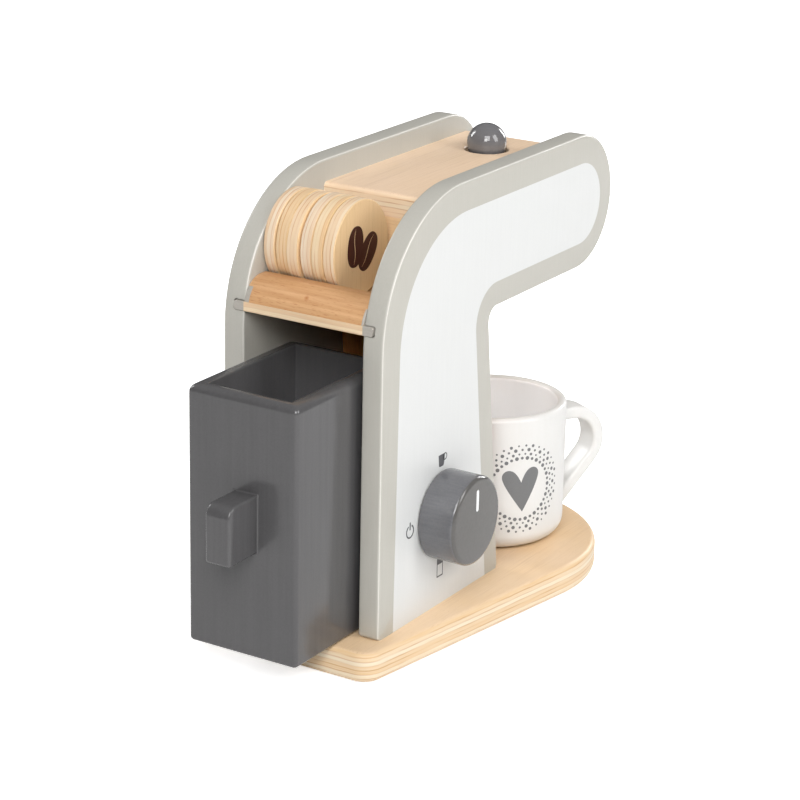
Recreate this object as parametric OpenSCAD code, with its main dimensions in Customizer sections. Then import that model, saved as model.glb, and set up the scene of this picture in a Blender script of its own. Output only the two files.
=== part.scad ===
// Wooden toy coffee maker: two painted side panels on a base board, with a tank
// that slides out at the rear, a bay of round pods, a push button, a knob and a mug.
// Millimetres, +Z up. The origin is the middle of the base board's underside, and
// -Y is the front, where the mug stands. A place on the body is given as a distance
// forward of the panels' rear edge and a height above the base board.

/* [Base board] */
// Thickness of the base board
base_thk = 12; // [10:0.5:18]
// Length of the base board, from its rear edge to the tip of its round front end
base_len = 184.4; // [180:0.2:200]
// Width of the base board at its rear corners
base_rear_w = 81; // [76:0.5:95]
// Radius of the base board's round front end
base_front_r = 58.5; // [50:0.5:70]
// Radius of the base board's rear corners
base_corner_r = 8; // [4:0.5:15]
// Radius of the base board's rolled edges
base_edge_r = 2.5; // [1:0.25:4]
// How far the base board stands out behind the side panels
base_lip = 13.4; // [8:0.2:20]

/* [Side panels] */
// Thickness of each side panel
panel_thk = 9; // [8:0.5:14]
// Clear width between the two side panels
bay_w = 52; // [48:0.5:60]
// Height of the side panels above the base board
panel_h = 164.3; // [158:0.1:180]
// Length of a side panel, from its rear edge to the tip of its nose
arm_reach = 172.6; // [166:0.1:185]
// Height of the arm's underside above the base board
arm_under = 110.1; // [104:0.5:114]
// Length of the column at its foot
column_foot = 88.6; // [84:0.1:96]
// Length that the column's front edge would have at the arm's underside
column_neck = 75.4; // [72:0.1:82]
// Radius of the shoulder at the top of the rear edge
shoulder_r = 54; // [30:0.5:60]
// Radius of the inner corner under the arm
crook_r = 5.5; // [4:0.5:16]

/* [Cross boards] */
// Thickness of the top board
top_board_thk = 9; // [7:0.5:11]
// How far the top board's face lies below the panels' top edge
top_board_drop = 8.8; // [6:0.2:12]
// Distance from the panels' rear edge to the top board's rear edge
top_board_start = 53; // [51:0.5:60]
// Distance from the panels' rear edge to the top board's front edge
top_board_end = 159.5; // [156:0.5:161]
// Thickness of the board that closes the pod bay
bay_board_thk = 6; // [4:0.5:8]
// Thickness of the column, arm and nose boards
front_board_thk = 9; // [7:0.5:10]
// How far the column, arm and nose boards lie inside the panels' edges
board_recess = 1.5; // [1:0.25:3]

/* [Pod shelf] */
// Height of the shelf's top face above the base board
shelf_h = 121; // [119:0.5:124]
// Thickness of the shelf
shelf_thk = 3.5; // [3:0.25:6]
// Depth of the grooves in the side panels that hold the shelf's ends
groove_depth = 4.5; // [3:0.25:6]
// Width of the pod stop rail, front to back
rail_w = 14; // [10:0.5:15]
// Height of the pod stop rail
rail_h = 8.5; // [5:0.25:10]
// Radius of the pod stop rail's round back
rail_round_r = 11; // [10:0.5:14]

/* [Pods] */
// Distance from the panels' rear edge to the middle of the pods
pod_back = 30.5; // [30:0.25:33.5]
// Diameter of a pod
pod_d = 37; // [30:0.5:37.5]
// Thickness of a pod
pod_thk = 5; // [3:0.1:5.5]
// Radius of a pod's rolled edges
pod_edge_r = 0.5; // [0.25:0.05:1]
// Gap between neighbouring pods
pod_gap = 0.3; // [0.2:0.05:0.6]
// Largest distance that a single pod lies off the row of pods
pod_stray = 0.5; // [0:0.1:0.6]

/* [Tank] */
// Height of the tank
tank_h = 100; // [80:1:110]
// Thickness of the tank's side walls
tank_side_thk = 6; // [4:0.5:8]
// Thickness of the tank's front and rear walls
tank_end_thk = 5; // [4:0.5:8]
// Thickness of the tank's floor
tank_floor_thk = 6; // [4:0.5:10]
// Gap between the tank and each side panel
tank_side_gap = 2.15; // [0.5:0.05:4]
// Gap between the pushed-in tank and the column board
tank_front_gap = 0.6; // [0.3:0.1:4]
// How far the tank stands drawn out
tank_out = 38; // [20:1:42]
// Radius of the tank's rolled edges
tank_edge_r = 2.5; // [0.5:0.25:3]

/* [Tank handle] */
// Width of the tank handle
handle_w = 10.5; // [8:0.5:20]
// How far the tank handle stands out of the tank
handle_out = 17.5; // [12:0.5:25]
// Height of the tank handle
handle_h = 22.5; // [18:0.5:40]
// How far the tank handle lies to the right of the middle
handle_side = 1.7; // [0:0.1:4]
// Height of the tank handle's middle above the tank's foot
handle_up = 52.5; // [30:0.5:70]
// Radius of the tank handle's upper rear edge
handle_round_r = 5; // [2:0.5:8]
// Radius of the tank handle's other edges
handle_edge_r = 1; // [0.5:0.25:2]

/* [Push button] */
// Diameter of the ball
ball_d = 16; // [13:0.5:18]
// How far the ball's middle lies above the top board
ball_rise = 2.6; // [2:0.1:4]
// Radial gap between the ball and its hole
ball_gap = 0.8; // [0.4:0.1:1.2]
// Distance from the panels' rear edge to the ball
button_back = 136; // [110:0.5:139]
// How far the ball lies to the left of the middle
button_side = 3; // [0:0.5:4]
// Travel of the push button
button_travel = 4; // [2:0.25:4]
// Diameter of the button's stem
stem_d = 6; // [4:0.25:6.5]
// Depth of the stem's seat in the ball
stem_seat = 5; // [4:0.5:6]
// Length of the ball that the flat under it cuts away
ball_flat_cut = 2.5; // [1.5:0.25:3]
// Width of the guide block under the top board
guide_w = 22; // [16:1:30]
// Height of the guide block
guide_h = 15; // [13:0.5:16]
// Depth of the spring's well in the guide block
well_depth = 7; // [5:0.5:8]
// Outer diameter of the spring
spring_d = 10; // [9:0.25:11]
// Diameter of the spring's wire
wire_d = 0.9; // [0.6:0.1:1.1]
// Turns of the spring
spring_turns = 5; // [4:1:6]
// Diameter of the retaining ring on the stem
ring_d = 11; // [10:0.5:14]
// Thickness of the retaining ring
ring_thk = 2; // [1:0.25:2.5]

/* [Knob] */
// Diameter of the knob
knob_d = 35; // [25:0.5:45]
// Height of the knob
knob_h = 15.5; // [13:0.5:18]
// Radius of the knob's front edge
knob_edge_r = 2; // [0.5:0.25:4]
// Distance from the panels' rear edge to the knob
knob_back = 43.5; // [30:0.5:50]
// Height of the knob's middle above the base board
knob_up = 37.5; // [30:0.5:80]
// Gap between the knob and the side panel
knob_gap = 0.3; // [0.2:0.05:1]
// Diameter of the knob's spindle
spindle_d = 10; // [8:0.25:14]
// Depth of the spindle's seat in the knob
spindle_seat = 9; // [6:0.5:10]
// Depth of the pocket for the washer in the side panel's inner face
pocket_depth = 4; // [3.9:0.1:5]
// Diameter of the knob's washer
washer_d = 18; // [16:0.5:24]
// Thickness of the knob's washer
washer_thk = 1.5; // [1:0.1:1.6]
// Diameter of the knob screw's shank
knob_screw_d = 3; // [2.5:0.1:4]
// Diameter of the knob screw's head
knob_head_d = 6; // [5.5:0.1:8]
// Height of the knob screw's head
knob_head_h = 1.8; // [1:0.1:1.9]
// Length of the knob screw's shank
knob_screw_len = 10; // [7:0.5:12]

/* [Spout] */
// Distance from the panels' rear edge to the spout
spout_back = 124; // [110:0.5:135]
// Diameter of the spout's collar
spout_collar_d = 18; // [12:0.5:24]
// Height of the spout's collar
spout_collar_h = 4; // [2:0.25:6]
// Diameter of the spout's tip
spout_tip_d = 9; // [7:0.25:11]
// Diameter of the spout where it meets its collar
spout_root_d = 11; // [8:0.25:12]
// Length of the spout under its collar
spout_tip_len = 8; // [5:0.5:14]
// Diameter of the drip hole in the spout
spout_bore_d = 4; // [2:0.25:5]
// Depth of the drip hole
spout_bore_depth = 6; // [3:0.5:8]
// Diameter of the peg that holds the spout
spout_peg_d = 8; // [6:0.25:11]
// Length of the peg that holds the spout
spout_peg_len = 6; // [4:0.5:6.5]

/* [Mug] */
// Diameter of the mug
mug_d = 59; // [50:0.5:62]
// Height of the mug
mug_h = 56.5; // [50:0.5:70]
// Thickness of the mug's wall
mug_wall = 4; // [2.5:0.25:6]
// Thickness of the mug's floor
mug_floor = 6; // [4:0.5:10]
// Radius of the mug's round foot
mug_foot_r = 7; // [3:0.5:12]
// Radius of the inner corner at the mug's floor
mug_corner_r = 5; // [2:0.5:10]
// Distance from the panels' rear edge to the mug's middle
mug_back = 125; // [123:0.5:130]
// How far the mug stands to the right of the middle
mug_side = 10.5; // [0:0.5:12]

/* [Mug handle] */
// Direction in which the mug's handle points, seen from above
mug_turn = 241; // [225:1:270]
// Width of the mug's handle
loop_w = 11.5; // [8:0.5:16]
// Outer radius of the handle's bend
loop_r = 15; // [12:0.5:17]
// Thickness of the handle
loop_thk = 5.1; // [4:0.1:6]
// Distance from the mug's wall to the centre of the handle's bend
loop_out = 6.25; // [4:0.25:10]
// Height of the centre of the handle's bend
loop_up = 33; // [30:0.5:40]
// Slope at which the handle falls back to the mug
loop_fall = 42.5; // [38:0.5:60]

/* [Fasteners] */
// Diameter of the dowels
dowel_d = 5; // [4:0.25:6]
// Length of a dowel in a side panel
dowel_in_panel = 6; // [4:0.5:7]
// Length of a dowel in a cross board
dowel_in_board = 10; // [6:0.5:16]
// Distance of a board's dowels from its ends
dowel_inset = 14; // [10:0.5:20]
// Distance of the column board's dowels from its ends
column_dowel_inset = 28; // [20:1:40]
// Diameter of the base screws
base_screw_d = 3.5; // [3:0.1:4.5]
// Diameter of the base screws' countersunk heads
base_head_d = 7; // [6:0.1:8.5]
// Length of the base screws in the side panels
base_screw_bite = 18; // [12:0.5:24]
// Distance of the base screws from the column's ends
base_screw_inset = 20; // [14:0.5:26]
// Diameter of the tank handle's screws
handle_screw_d = 3; // [2.5:0.1:4]
// Diameter of the tank handle screws' heads
handle_head_d = 6; // [5.5:0.1:7.5]
// Height of the tank handle screws' heads
handle_head_h = 1.5; // [1:0.1:2]
// Length of the tank handle's screws in the handle
handle_screw_bite = 10; // [6:0.5:11]
// Distance between the tank handle's two screws
handle_screw_pitch = 11; // [9:0.5:12]

/* [Fits] */
// Gap under a piece that stands on another and can be moved
seat_gap = 0.2; // [0.1:0.05:0.5]
// Radial gap round a glued peg, dowel or screw
glue_gap = 0.05; // [0.02:0.01:0.1]
// Radial gap round a pin that turns or slides
running_gap = 0.05; // [0.02:0.01:0.1]
// Gap between a peg's end and the bottom of its hole
end_gap = 0.3; // [0.1:0.1:1]
// Radial gap round the spring in its well
well_gap = 0.75; // [0.4:0.05:1]
// Radial gap round the knob's washer in its pocket
pocket_gap = 0.5; // [0.3:0.1:1]

/* [Hidden] */
$fn = 72;
eps = 0.01;

plywood = "#EFD5B8";
beech = "#DDA775";
panel_paint = "#C6C3BB";
grey_paint = "#646262";
white_paint = "#F7F5F2";
steel = "#B8B8BC";

// Where the body stands on the base board
back_y = base_len / 2 - base_lip;
inner_x = bay_w / 2;
outer_x = inner_x + panel_thk;

// Facets round the base board's front end, its rear corners and its rolled edges
front_facets = 128;
corner_facets = 48;
edge_facets = 24;

// Middles of the base board's round corners
front_end = [0, base_front_r - base_len / 2];
rear_corner = [base_rear_w / 2 - base_corner_r, base_len / 2 - base_corner_r];

// Outline of a side panel, in distance behind the rear edge and height:
// [centre, radius, start angle, end angle] of each bend
nose_r = (panel_h - arm_under) / 2;
lean = atan((column_foot - column_neck) / arm_under);
function column_front(h, inset = 0) = h * tan(lean) - column_foot + inset / cos(lean);
crook_up = arm_under - crook_r;
panel_bends = [
  [[-shoulder_r, panel_h - shoulder_r], shoulder_r, 0, 90],
  [[nose_r - arm_reach, panel_h - nose_r], nose_r, 90, 270],
  [[column_front(crook_up, -crook_r), crook_up], crook_r, 90, -lean]
];
function panel_feet(inset) = [[column_front(0, inset), 0], [-inset, 0]];

// Boards between the side panels
top_board_up = panel_h - top_board_drop;
top_board_under = top_board_up - top_board_thk;
shelf_len = top_board_start + bay_board_thk;
arm_board_low = arm_under + board_recess;
arm_board_high = arm_board_low + front_board_thk;
board_back = board_recess + front_board_thk;
nose_board_back = top_board_end - front_board_thk;

// Middles of the dowels, in distance behind the rear edge and height
top_dowels = [
  [-top_board_start - dowel_inset, top_board_up - top_board_thk / 2],
  [dowel_inset - top_board_end, top_board_up - top_board_thk / 2]
];
arm_dowels = [
  [column_front(arm_board_low) - dowel_inset, (arm_board_low + arm_board_high) / 2],
  [dowel_inset - nose_board_back, (arm_board_low + arm_board_high) / 2]
];
column_dowels = [
  for (h = [column_dowel_inset, arm_board_low - column_dowel_inset])
    [column_front(h, board_recess + front_board_thk / 2), h]
];
nose_dowels = [
  [front_board_thk / 2 - top_board_end, (arm_board_high + top_board_under) / 2]
];
all_dowels = concat(top_dowels, arm_dowels, column_dowels, nose_dowels);

// Tank
tank_w = bay_w - 2 * tank_side_gap;
tank_len = -column_front(tank_h + seat_gap, board_back) - tank_front_gap;
handle_screws = [
  for (side = [-1, 1]) handle_up + side * handle_screw_pitch / 2
];

// Push button, in height above the top board's face
ball_flat = ball_rise - ball_d / 2 + ball_flat_cut;
guide_top = -top_board_thk;
well_bottom = guide_top - well_depth;
guide_bottom = guide_top - guide_h;
ring_top = guide_bottom - seat_gap;
ring_bottom = ring_top - ring_thk;

// Knob, in distance outwards from the side panel's inner face
washer_out = pocket_depth - seat_gap;
knob_out = panel_thk + knob_gap;

// Pods, with the angle step that spreads their small offsets
pod_pitch = pod_thk + pod_gap;
stray_step = 137;

// Quarter of a circle below the line, outside (1) or inside (-1) of the origin
module quarter(r, side) {
  intersection() {
    circle(r);
    translate([side > 0 ? 0 : -r, -r]) square(r);
  }
}

// Radius and points of a bend after the outline moves in by inset
function bulge(bend) = bend[3] > bend[2] ? 1 : -1;
function bend_r(bend, inset) = bend[1] - bulge(bend) * inset;
function bend_at(bend, angle, inset) =
  bend[0] + bend_r(bend, inset) * [cos(angle), sin(angle)];

// Part of a disc between the bend's two angles
module sector(bend, inset) {
  r = bend_r(bend, inset);
  translate(bend[0]) intersection() {
    circle(r);
    polygon(concat([[0, 0]], [
      for (k = [0:4]) let (angle = bend[2] + k * (bend[3] - bend[2]) / 4)
        2 * r * [cos(angle), sin(angle)]
    ]));
  }
}

// Flat outline through the bends and a straight foot
module outline(bends, inset, feet) {
  difference() {
    union() {
      polygon(concat([
        for (bend = bends)
          each [bend_at(bend, bend[2], inset), bend[0], bend_at(bend, bend[3], inset)]
      ], feet));
      for (bend = bends) if (bulge(bend) > 0) sector(bend, inset);
    }
    for (bend = bends) if (bulge(bend) < 0) translate(bend[0]) circle(bend_r(bend, inset));
  }
}

// Upright disc with rolled edges
module rolled_disc(r, thk, edge_r) {
  rotate_extrude() {
    square([r - edge_r, thk]);
    translate([0, edge_r]) square([r, thk - 2 * edge_r]);
    for (up = [edge_r, thk - edge_r]) translate([r - edge_r, up]) circle(edge_r, $fn = edge_facets);
  }
}

// Takes a drawing in distance and height to the body, and its height to +X
module on_body(x = 0) {
  translate([x, back_y, base_thk]) rotate([90, 0, 90]) children();
}

// Dowel holes in both ends of a board between the side panels
module board_dowel_holes(spots) {
  depth = dowel_in_board + end_gap;
  for (spot = spots) for (x = [-inner_x - eps, inner_x - depth])
    on_body(x) translate(spot) cylinder(d = dowel_d + 2 * glue_gap, h = depth + eps);
}

// Board between the side panels
module cross_board(spots = []) {
  difference() {
    on_body(-inner_x) linear_extrude(bay_w) children();
    board_dowel_holes(spots);
  }
}

module base_screw_places() {
  for (side = [-1, 1]) for (back = [base_screw_inset, column_foot - base_screw_inset])
    translate([side * (inner_x + panel_thk / 2), back_y - back, 0]) children();
}

module base_board() color(plywood) {
  sink = (base_head_d - base_screw_d) / 2;
  difference() {
    hull() {
      translate(front_end) rolled_disc(base_front_r, base_thk, base_edge_r, $fn = front_facets);
      for (side = [-1, 1]) translate([side * rear_corner.x, rear_corner.y])
        rolled_disc(base_corner_r, base_thk, base_edge_r, $fn = corner_facets);
    }
    base_screw_places() {
      translate([0, 0, -eps]) cylinder(d = base_screw_d + 2 * glue_gap, h = base_thk + 2 * eps);
      translate([0, 0, -eps])
        cylinder(d1 = base_head_d + 2 * glue_gap, d2 = base_screw_d + 2 * glue_gap, h = sink + eps);
    }
  }
}

// Side panel whose inner face is at x = 0
module side_panel() {
  difference() {
    on_body() linear_extrude(panel_thk) outline(panel_bends, 0, panel_feet(0));
    on_body(-eps) translate([-shelf_len, shelf_h - shelf_thk, 0])
      cube([shelf_len + eps, shelf_thk, groove_depth + eps]);
    for (spot = all_dowels) on_body(-eps) translate(spot)
      cylinder(d = dowel_d + 2 * glue_gap, h = dowel_in_panel + end_gap + eps);
    translate([-inner_x, 0, base_thk - eps]) base_screw_places()
      cylinder(d = base_screw_d + 2 * glue_gap, h = base_screw_bite + end_gap + eps);
  }
}

module left_side_panel() color(panel_paint) translate([inner_x, 0, 0]) side_panel();

module right_side_panel() color(panel_paint) {
  difference() {
    mirror([1, 0, 0]) translate([inner_x, 0, 0]) side_panel();
    knob_axis() {
      translate([0, 0, -eps])
        cylinder(d = spindle_d + 2 * running_gap, h = panel_thk + 2 * eps);
      translate([0, 0, -eps]) cylinder(d = washer_d + 2 * pocket_gap, h = pocket_depth + eps);
    }
  }
}

module top_board() color(plywood) {
  difference() {
    cross_board(top_dowels)
      translate([-top_board_end, top_board_under])
        square([top_board_end - top_board_start, top_board_thk]);
    button_axis() translate([0, 0, -top_board_thk - eps])
      cylinder(d = ball_d + 2 * ball_gap, h = top_board_thk + 2 * eps);
  }
}

module pod_bay_board() color(plywood)
  cross_board()
    translate([-shelf_len, shelf_h]) square([bay_board_thk, top_board_under - shelf_h]);

module pod_shelf() color(plywood)
  on_body(-inner_x - groove_depth)
    translate([-shelf_len, shelf_h - shelf_thk, 0])
      cube([shelf_len, shelf_thk, bay_w + 2 * groove_depth]);

module pod_stop_rail() color(beech)
  cross_board()
    translate([0, shelf_h]) intersection() {
      translate([-rail_w, 0]) square([rail_w, rail_h]);
      union() {
        translate([-rail_round_r, rail_h - rail_round_r]) circle(rail_round_r);
        translate([-rail_w, 0]) square([rail_w - rail_round_r, rail_h]);
      }
    }

module column_board() color(plywood)
  cross_board(column_dowels)
    polygon([
      [column_front(0, board_recess), 0],
      [column_front(0, board_back), 0],
      [column_front(arm_board_high, board_back), arm_board_high],
      [column_front(arm_board_high, board_recess), arm_board_high]
    ]);

module arm_board() color(plywood) {
  difference() {
    cross_board(arm_dowels)
      polygon([
        [-nose_board_back, arm_board_low],
        [column_front(arm_board_low, board_recess), arm_board_low],
        [column_front(arm_board_high, board_recess), arm_board_high],
        [-nose_board_back, arm_board_high]
      ]);
    spout_axis() translate([0, 0, -eps])
      cylinder(d = spout_peg_d + 2 * glue_gap, h = spout_peg_len + end_gap + eps);
  }
}

module nose_board() color(plywood)
  cross_board(nose_dowels)
    intersection() {
      translate([-top_board_end, arm_board_low])
        square([front_board_thk, top_board_under - arm_board_low]);
      outline(panel_bends, board_recess, panel_feet(board_recess));
    }

// Axis of the spout, from the arm board's lower face
module spout_axis() translate([0, back_y - spout_back, base_thk + arm_board_low]) children();

module spout() color(grey_paint)
  spout_axis() difference() {
    union() {
      cylinder(d = spout_peg_d, h = spout_peg_len);
      translate([0, 0, -spout_collar_h]) cylinder(d = spout_collar_d, h = spout_collar_h);
      translate([0, 0, -spout_collar_h - spout_tip_len])
        cylinder(d1 = spout_tip_d, d2 = spout_root_d, h = spout_tip_len);
    }
    translate([0, 0, -spout_collar_h - spout_tip_len - eps])
      cylinder(d = spout_bore_d, h = spout_bore_depth + eps);
  }

module board_dowels() color(beech)
  for (spot = all_dowels)
    for (x = [-inner_x - dowel_in_panel, inner_x - dowel_in_board])
      on_body(x) translate(spot) cylinder(d = dowel_d, h = dowel_in_panel + dowel_in_board);

module base_screws() color(steel)
  base_screw_places() {
    sink = (base_head_d - base_screw_d) / 2;
    cylinder(d1 = base_head_d, d2 = base_screw_d, h = sink);
    cylinder(d = base_screw_d, h = base_thk + base_screw_bite);
  }

// Tank, whose rear face is at y = 0 and whose foot is at z = 0
module tank_place() {
  translate([0, back_y + tank_out, base_thk + seat_gap]) children();
}

// Upright tank wall across the tank, its outer face at y = 0, with rolled outer edges
module tank_end_wall() {
  r = tank_edge_r;
  rotate([90, 0, 0]) {
    translate([0, 0, r]) translate([-tank_w / 2, 0, 0]) cube([tank_w, tank_h, tank_end_thk - r]);
    translate([r - tank_w / 2, 0, 0]) cube([tank_w - 2 * r, tank_h - r, r]);
    for (side = [0, 1]) mirror([side, 0, 0])
      translate([r - tank_w / 2, 0, r]) rotate([-90, 0, 0])
        linear_extrude(tank_h - r) mirror([0, 1]) quarter(r, -1);
    translate([r - tank_w / 2, tank_h - r, r]) rotate([0, 90, 0])
      linear_extrude(tank_w - 2 * r) intersection() {
        circle(r);
        square(r);
      }
    for (side = [0, 1]) mirror([side, 0, 0]) translate([r - tank_w / 2, tank_h - r, r])
      intersection() {
        sphere(r);
        translate([-r, 0, -r]) cube(r);
      }
  }
}

// Axes of the tank handle's screws, from the tank's rear face into the handle
module handle_screw_axes()
  for (up = handle_screws) translate([-handle_side, 0, up]) rotate([-90, 0, 0]) children();

module tank_rear_wall() color(grey_paint)
  tank_place() difference() {
    tank_end_wall();
    handle_screw_axes() translate([0, 0, -tank_end_thk - eps])
      cylinder(d = handle_screw_d + 2 * glue_gap, h = tank_end_thk + 2 * eps);
  }

module tank_front_wall() color(grey_paint)
  tank_place() translate([0, -tank_len, 0]) rotate([0, 0, 180]) tank_end_wall();

module tank_side_wall(side)
  tank_place()
    translate([side > 0 ? tank_w / 2 - tank_side_thk : -tank_w / 2, tank_end_thk - tank_len, 0])
      cube([tank_side_thk, tank_len - 2 * tank_end_thk, tank_h]);

module tank_left_wall() color(grey_paint) tank_side_wall(1);
module tank_right_wall() color(grey_paint) tank_side_wall(-1);

module tank_floor() color(grey_paint)
  tank_place()
    translate([tank_side_thk - tank_w / 2, tank_end_thk - tank_len, 0])
      cube([tank_w - 2 * tank_side_thk, tank_len - 2 * tank_end_thk, tank_floor_thk]);

// Side view of the tank handle, moved in by inset
module handle_view(inset) {
  r = handle_round_r;
  translate([0, handle_up - handle_h / 2 + inset]) {
    square([handle_out - inset, handle_h - 2 * inset - r + inset]);
    square([handle_out - r, handle_h - 2 * inset]);
  }
  translate([handle_out - r, handle_up + handle_h / 2 - r]) circle(r - inset);
}

module tank_handle() color(grey_paint)
  tank_place() difference() {
    for (step = [[0, handle_edge_r], [handle_edge_r, 0]])
      translate([step[0] - handle_w / 2 - handle_side, 0, 0]) rotate([90, 0, 90])
        linear_extrude(handle_w - 2 * step[0]) handle_view(step[1]);
    handle_screw_axes() translate([0, 0, -eps])
      cylinder(d = handle_screw_d + 2 * glue_gap, h = handle_screw_bite + end_gap + eps);
  }

module tank_handle_screws() color(steel)
  tank_place() handle_screw_axes() translate([0, 0, -tank_end_thk]) {
    cylinder(d = handle_screw_d, h = tank_end_thk + handle_screw_bite);
    translate([0, 0, -handle_head_h]) cylinder(d = handle_head_d, h = handle_head_h);
  }

// Axis of the push button, from the top board's face
module button_axis()
  translate([button_side, back_y - button_back, base_thk + top_board_up]) children();

module button_guide() color(plywood)
  button_axis() difference() {
    translate([-guide_w / 2, -guide_w / 2, guide_bottom]) cube([guide_w, guide_w, guide_h]);
    translate([0, 0, guide_bottom - eps])
      cylinder(d = stem_d + 2 * running_gap, h = guide_h + 2 * eps);
    translate([0, 0, well_bottom])
      cylinder(d = spring_d + 2 * well_gap, h = well_depth + eps);
  }

// Rings of points along the spring's wire
spring_low = well_bottom + wire_d / 2 + seat_gap;
spring_rise = ball_flat - well_bottom - wire_d - 2 * seat_gap;
spring_r = (spring_d - wire_d) / 2;
wire_sides = 8;
wire_steps = 16;
spring_rings = spring_turns * wire_steps;
function wire_ring(k) =
  let (turn = 360 * k / wire_steps,
       up = spring_low + spring_rise * k / spring_rings)
    [
      for (s = [0:wire_sides - 1])
        let (side = 360 * s / wire_sides, out = spring_r + wire_d / 2 * cos(side))
          [out * cos(turn), out * sin(turn), up + wire_d / 2 * sin(side)]
    ];

module button_spring() color(steel) {
  n = wire_sides;
  last = spring_rings * n;
  button_axis() polyhedron(
    points = [for (k = [0:spring_rings]) each wire_ring(k)],
    faces = concat(
      [[for (s = [0:n - 1]) s]],
      [[for (s = [n - 1:-1:0]) last + s]],
      [
        for (k = [0:spring_rings - 1]) for (s = [0:n - 1])
          let (a = k * n + s, b = k * n + (s + 1) % n) each [[a, a + n, b + n], [a, b + n, b]]
      ]
    )
  );
}

module button_ball() color(grey_paint)
  button_axis() translate([0, 0, ball_rise]) difference() {
    sphere(d = ball_d);
    translate([-ball_d, -ball_d, -ball_d / 2 - 2 * ball_d + ball_flat_cut]) cube(2 * ball_d);
    translate([0, 0, ball_flat_cut - ball_d / 2 - eps])
      cylinder(d = stem_d + 2 * glue_gap, h = stem_seat + end_gap + eps);
  }

module button_stem() color(beech)
  button_axis() translate([0, 0, ring_bottom])
    cylinder(d = stem_d, h = ball_flat + stem_seat - ring_bottom);

module button_ring() color(steel)
  button_axis() translate([0, 0, ring_bottom]) difference() {
    cylinder(d = ring_d, h = ring_thk);
    translate([0, 0, -eps]) cylinder(d = stem_d + 2 * glue_gap, h = ring_thk + 2 * eps);
  }

// Axis of the knob, outwards from the right side panel's inner face
module knob_axis()
  translate([-inner_x, back_y - knob_back, base_thk + knob_up]) rotate([0, -90, 0]) children();

module knob() color(grey_paint)
  knob_axis() translate([0, 0, knob_out]) difference() {
    rotate_extrude() {
      square([knob_d / 2 - knob_edge_r, knob_h]);
      square([knob_d / 2, knob_h - knob_edge_r]);
      translate([knob_d / 2 - knob_edge_r, knob_h - knob_edge_r]) circle(knob_edge_r);
    }
    translate([0, 0, -eps])
      cylinder(d = spindle_d + 2 * glue_gap, h = spindle_seat + end_gap + eps);
  }

module knob_spindle() color(beech)
  knob_axis() translate([0, 0, washer_out]) difference() {
    cylinder(d = spindle_d, h = knob_out + spindle_seat - washer_out);
    translate([0, 0, -eps])
      cylinder(d = knob_screw_d + 2 * glue_gap, h = knob_screw_len - washer_thk + end_gap + eps);
  }

module knob_washer() color(steel)
  knob_axis() translate([0, 0, washer_out - washer_thk]) difference() {
    cylinder(d = washer_d, h = washer_thk);
    translate([0, 0, -eps]) cylinder(d = knob_screw_d + 2 * glue_gap, h = washer_thk + 2 * eps);
  }

module knob_screw() color(steel)
  knob_axis() translate([0, 0, washer_out - washer_thk - knob_head_h]) {
    cylinder(d = knob_head_d, h = knob_head_h);
    cylinder(d = knob_screw_d, h = knob_head_h + knob_screw_len);
  }

// Middle of the mug's foot
module mug_place()
  translate([-mug_side, back_y - mug_back, base_thk + seat_gap]) children();

// Half of the mug's section, with a round corner at the foot
module cup_section(r, low, high, corner_r) {
  translate([0, low + corner_r]) square([r, high - low - corner_r]);
  translate([0, low]) square([r - corner_r, corner_r]);
  translate([r - corner_r, low + corner_r]) circle(corner_r);
}

module mug_body() color(white_paint)
  mug_place() rotate_extrude() {
    rim = mug_h - mug_wall / 2;
    difference() {
      cup_section(mug_d / 2, 0, rim, mug_foot_r);
      cup_section(mug_d / 2 - mug_wall, mug_floor, rim + eps, mug_corner_r);
    }
    translate([mug_d / 2 - mug_wall / 2, rim]) circle(mug_wall / 2);
  }

// Side view of the handle's bend and its two arms, solid to radius r
module loop_view(r) {
  centre = [mug_d / 2 + loop_out, loop_up];
  root = mug_d / 2 - mug_wall / 2;
  tip = centre + r * [cos(loop_fall), -sin(loop_fall)];
  translate(centre) circle(r);
  polygon([
    tip,
    centre,
    [centre.x, loop_up + r],
    [root, loop_up + r],
    [root, tip.y - (tip.x - root) / tan(loop_fall)]
  ]);
}

module mug_handle() color(white_paint)
  mug_place() difference() {
    rotate(mug_turn) translate([0, loop_w / 2, 0]) rotate([90, 0, 0])
      linear_extrude(loop_w) difference() {
        loop_view(loop_r);
        loop_view(loop_r - loop_thk);
      }
    translate([0, 0, -mug_h]) cylinder(d = mug_d, h = 3 * mug_h);
  }

// Round pod number k, counted from the left side panel
module pod(k) color(plywood) {
  x = inner_x - pod_gap - k * pod_pitch;
  back = pod_back + pod_stray * sin(stray_step * k);
  translate([x, back_y - back, base_thk + shelf_h + seat_gap + pod_d / 2])
    rotate([0, -90, 0]) rolled_disc(pod_d / 2, pod_thk, pod_edge_r);
}

module pod_1() pod(0);
module pod_2() pod(1);
module pod_3() pod(2);
module pod_4() pod(3);
module pod_5() pod(4);
module pod_6() pod(5);

base_board();
left_side_panel();
right_side_panel();
top_board();
pod_bay_board();
pod_shelf();
pod_stop_rail();
column_board();
arm_board();
nose_board();
spout();
board_dowels();
base_screws();
tank_rear_wall();
tank_front_wall();
tank_left_wall();
tank_right_wall();
tank_floor();
tank_handle();
tank_handle_screws();
button_guide();
button_spring();
button_ball();
button_stem();
button_ring();
knob();
knob_spindle();
knob_washer();
knob_screw();
mug_body();
mug_handle();
pod_1();
pod_2();
pod_3();
pod_4();
pod_5();
pod_6();
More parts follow.
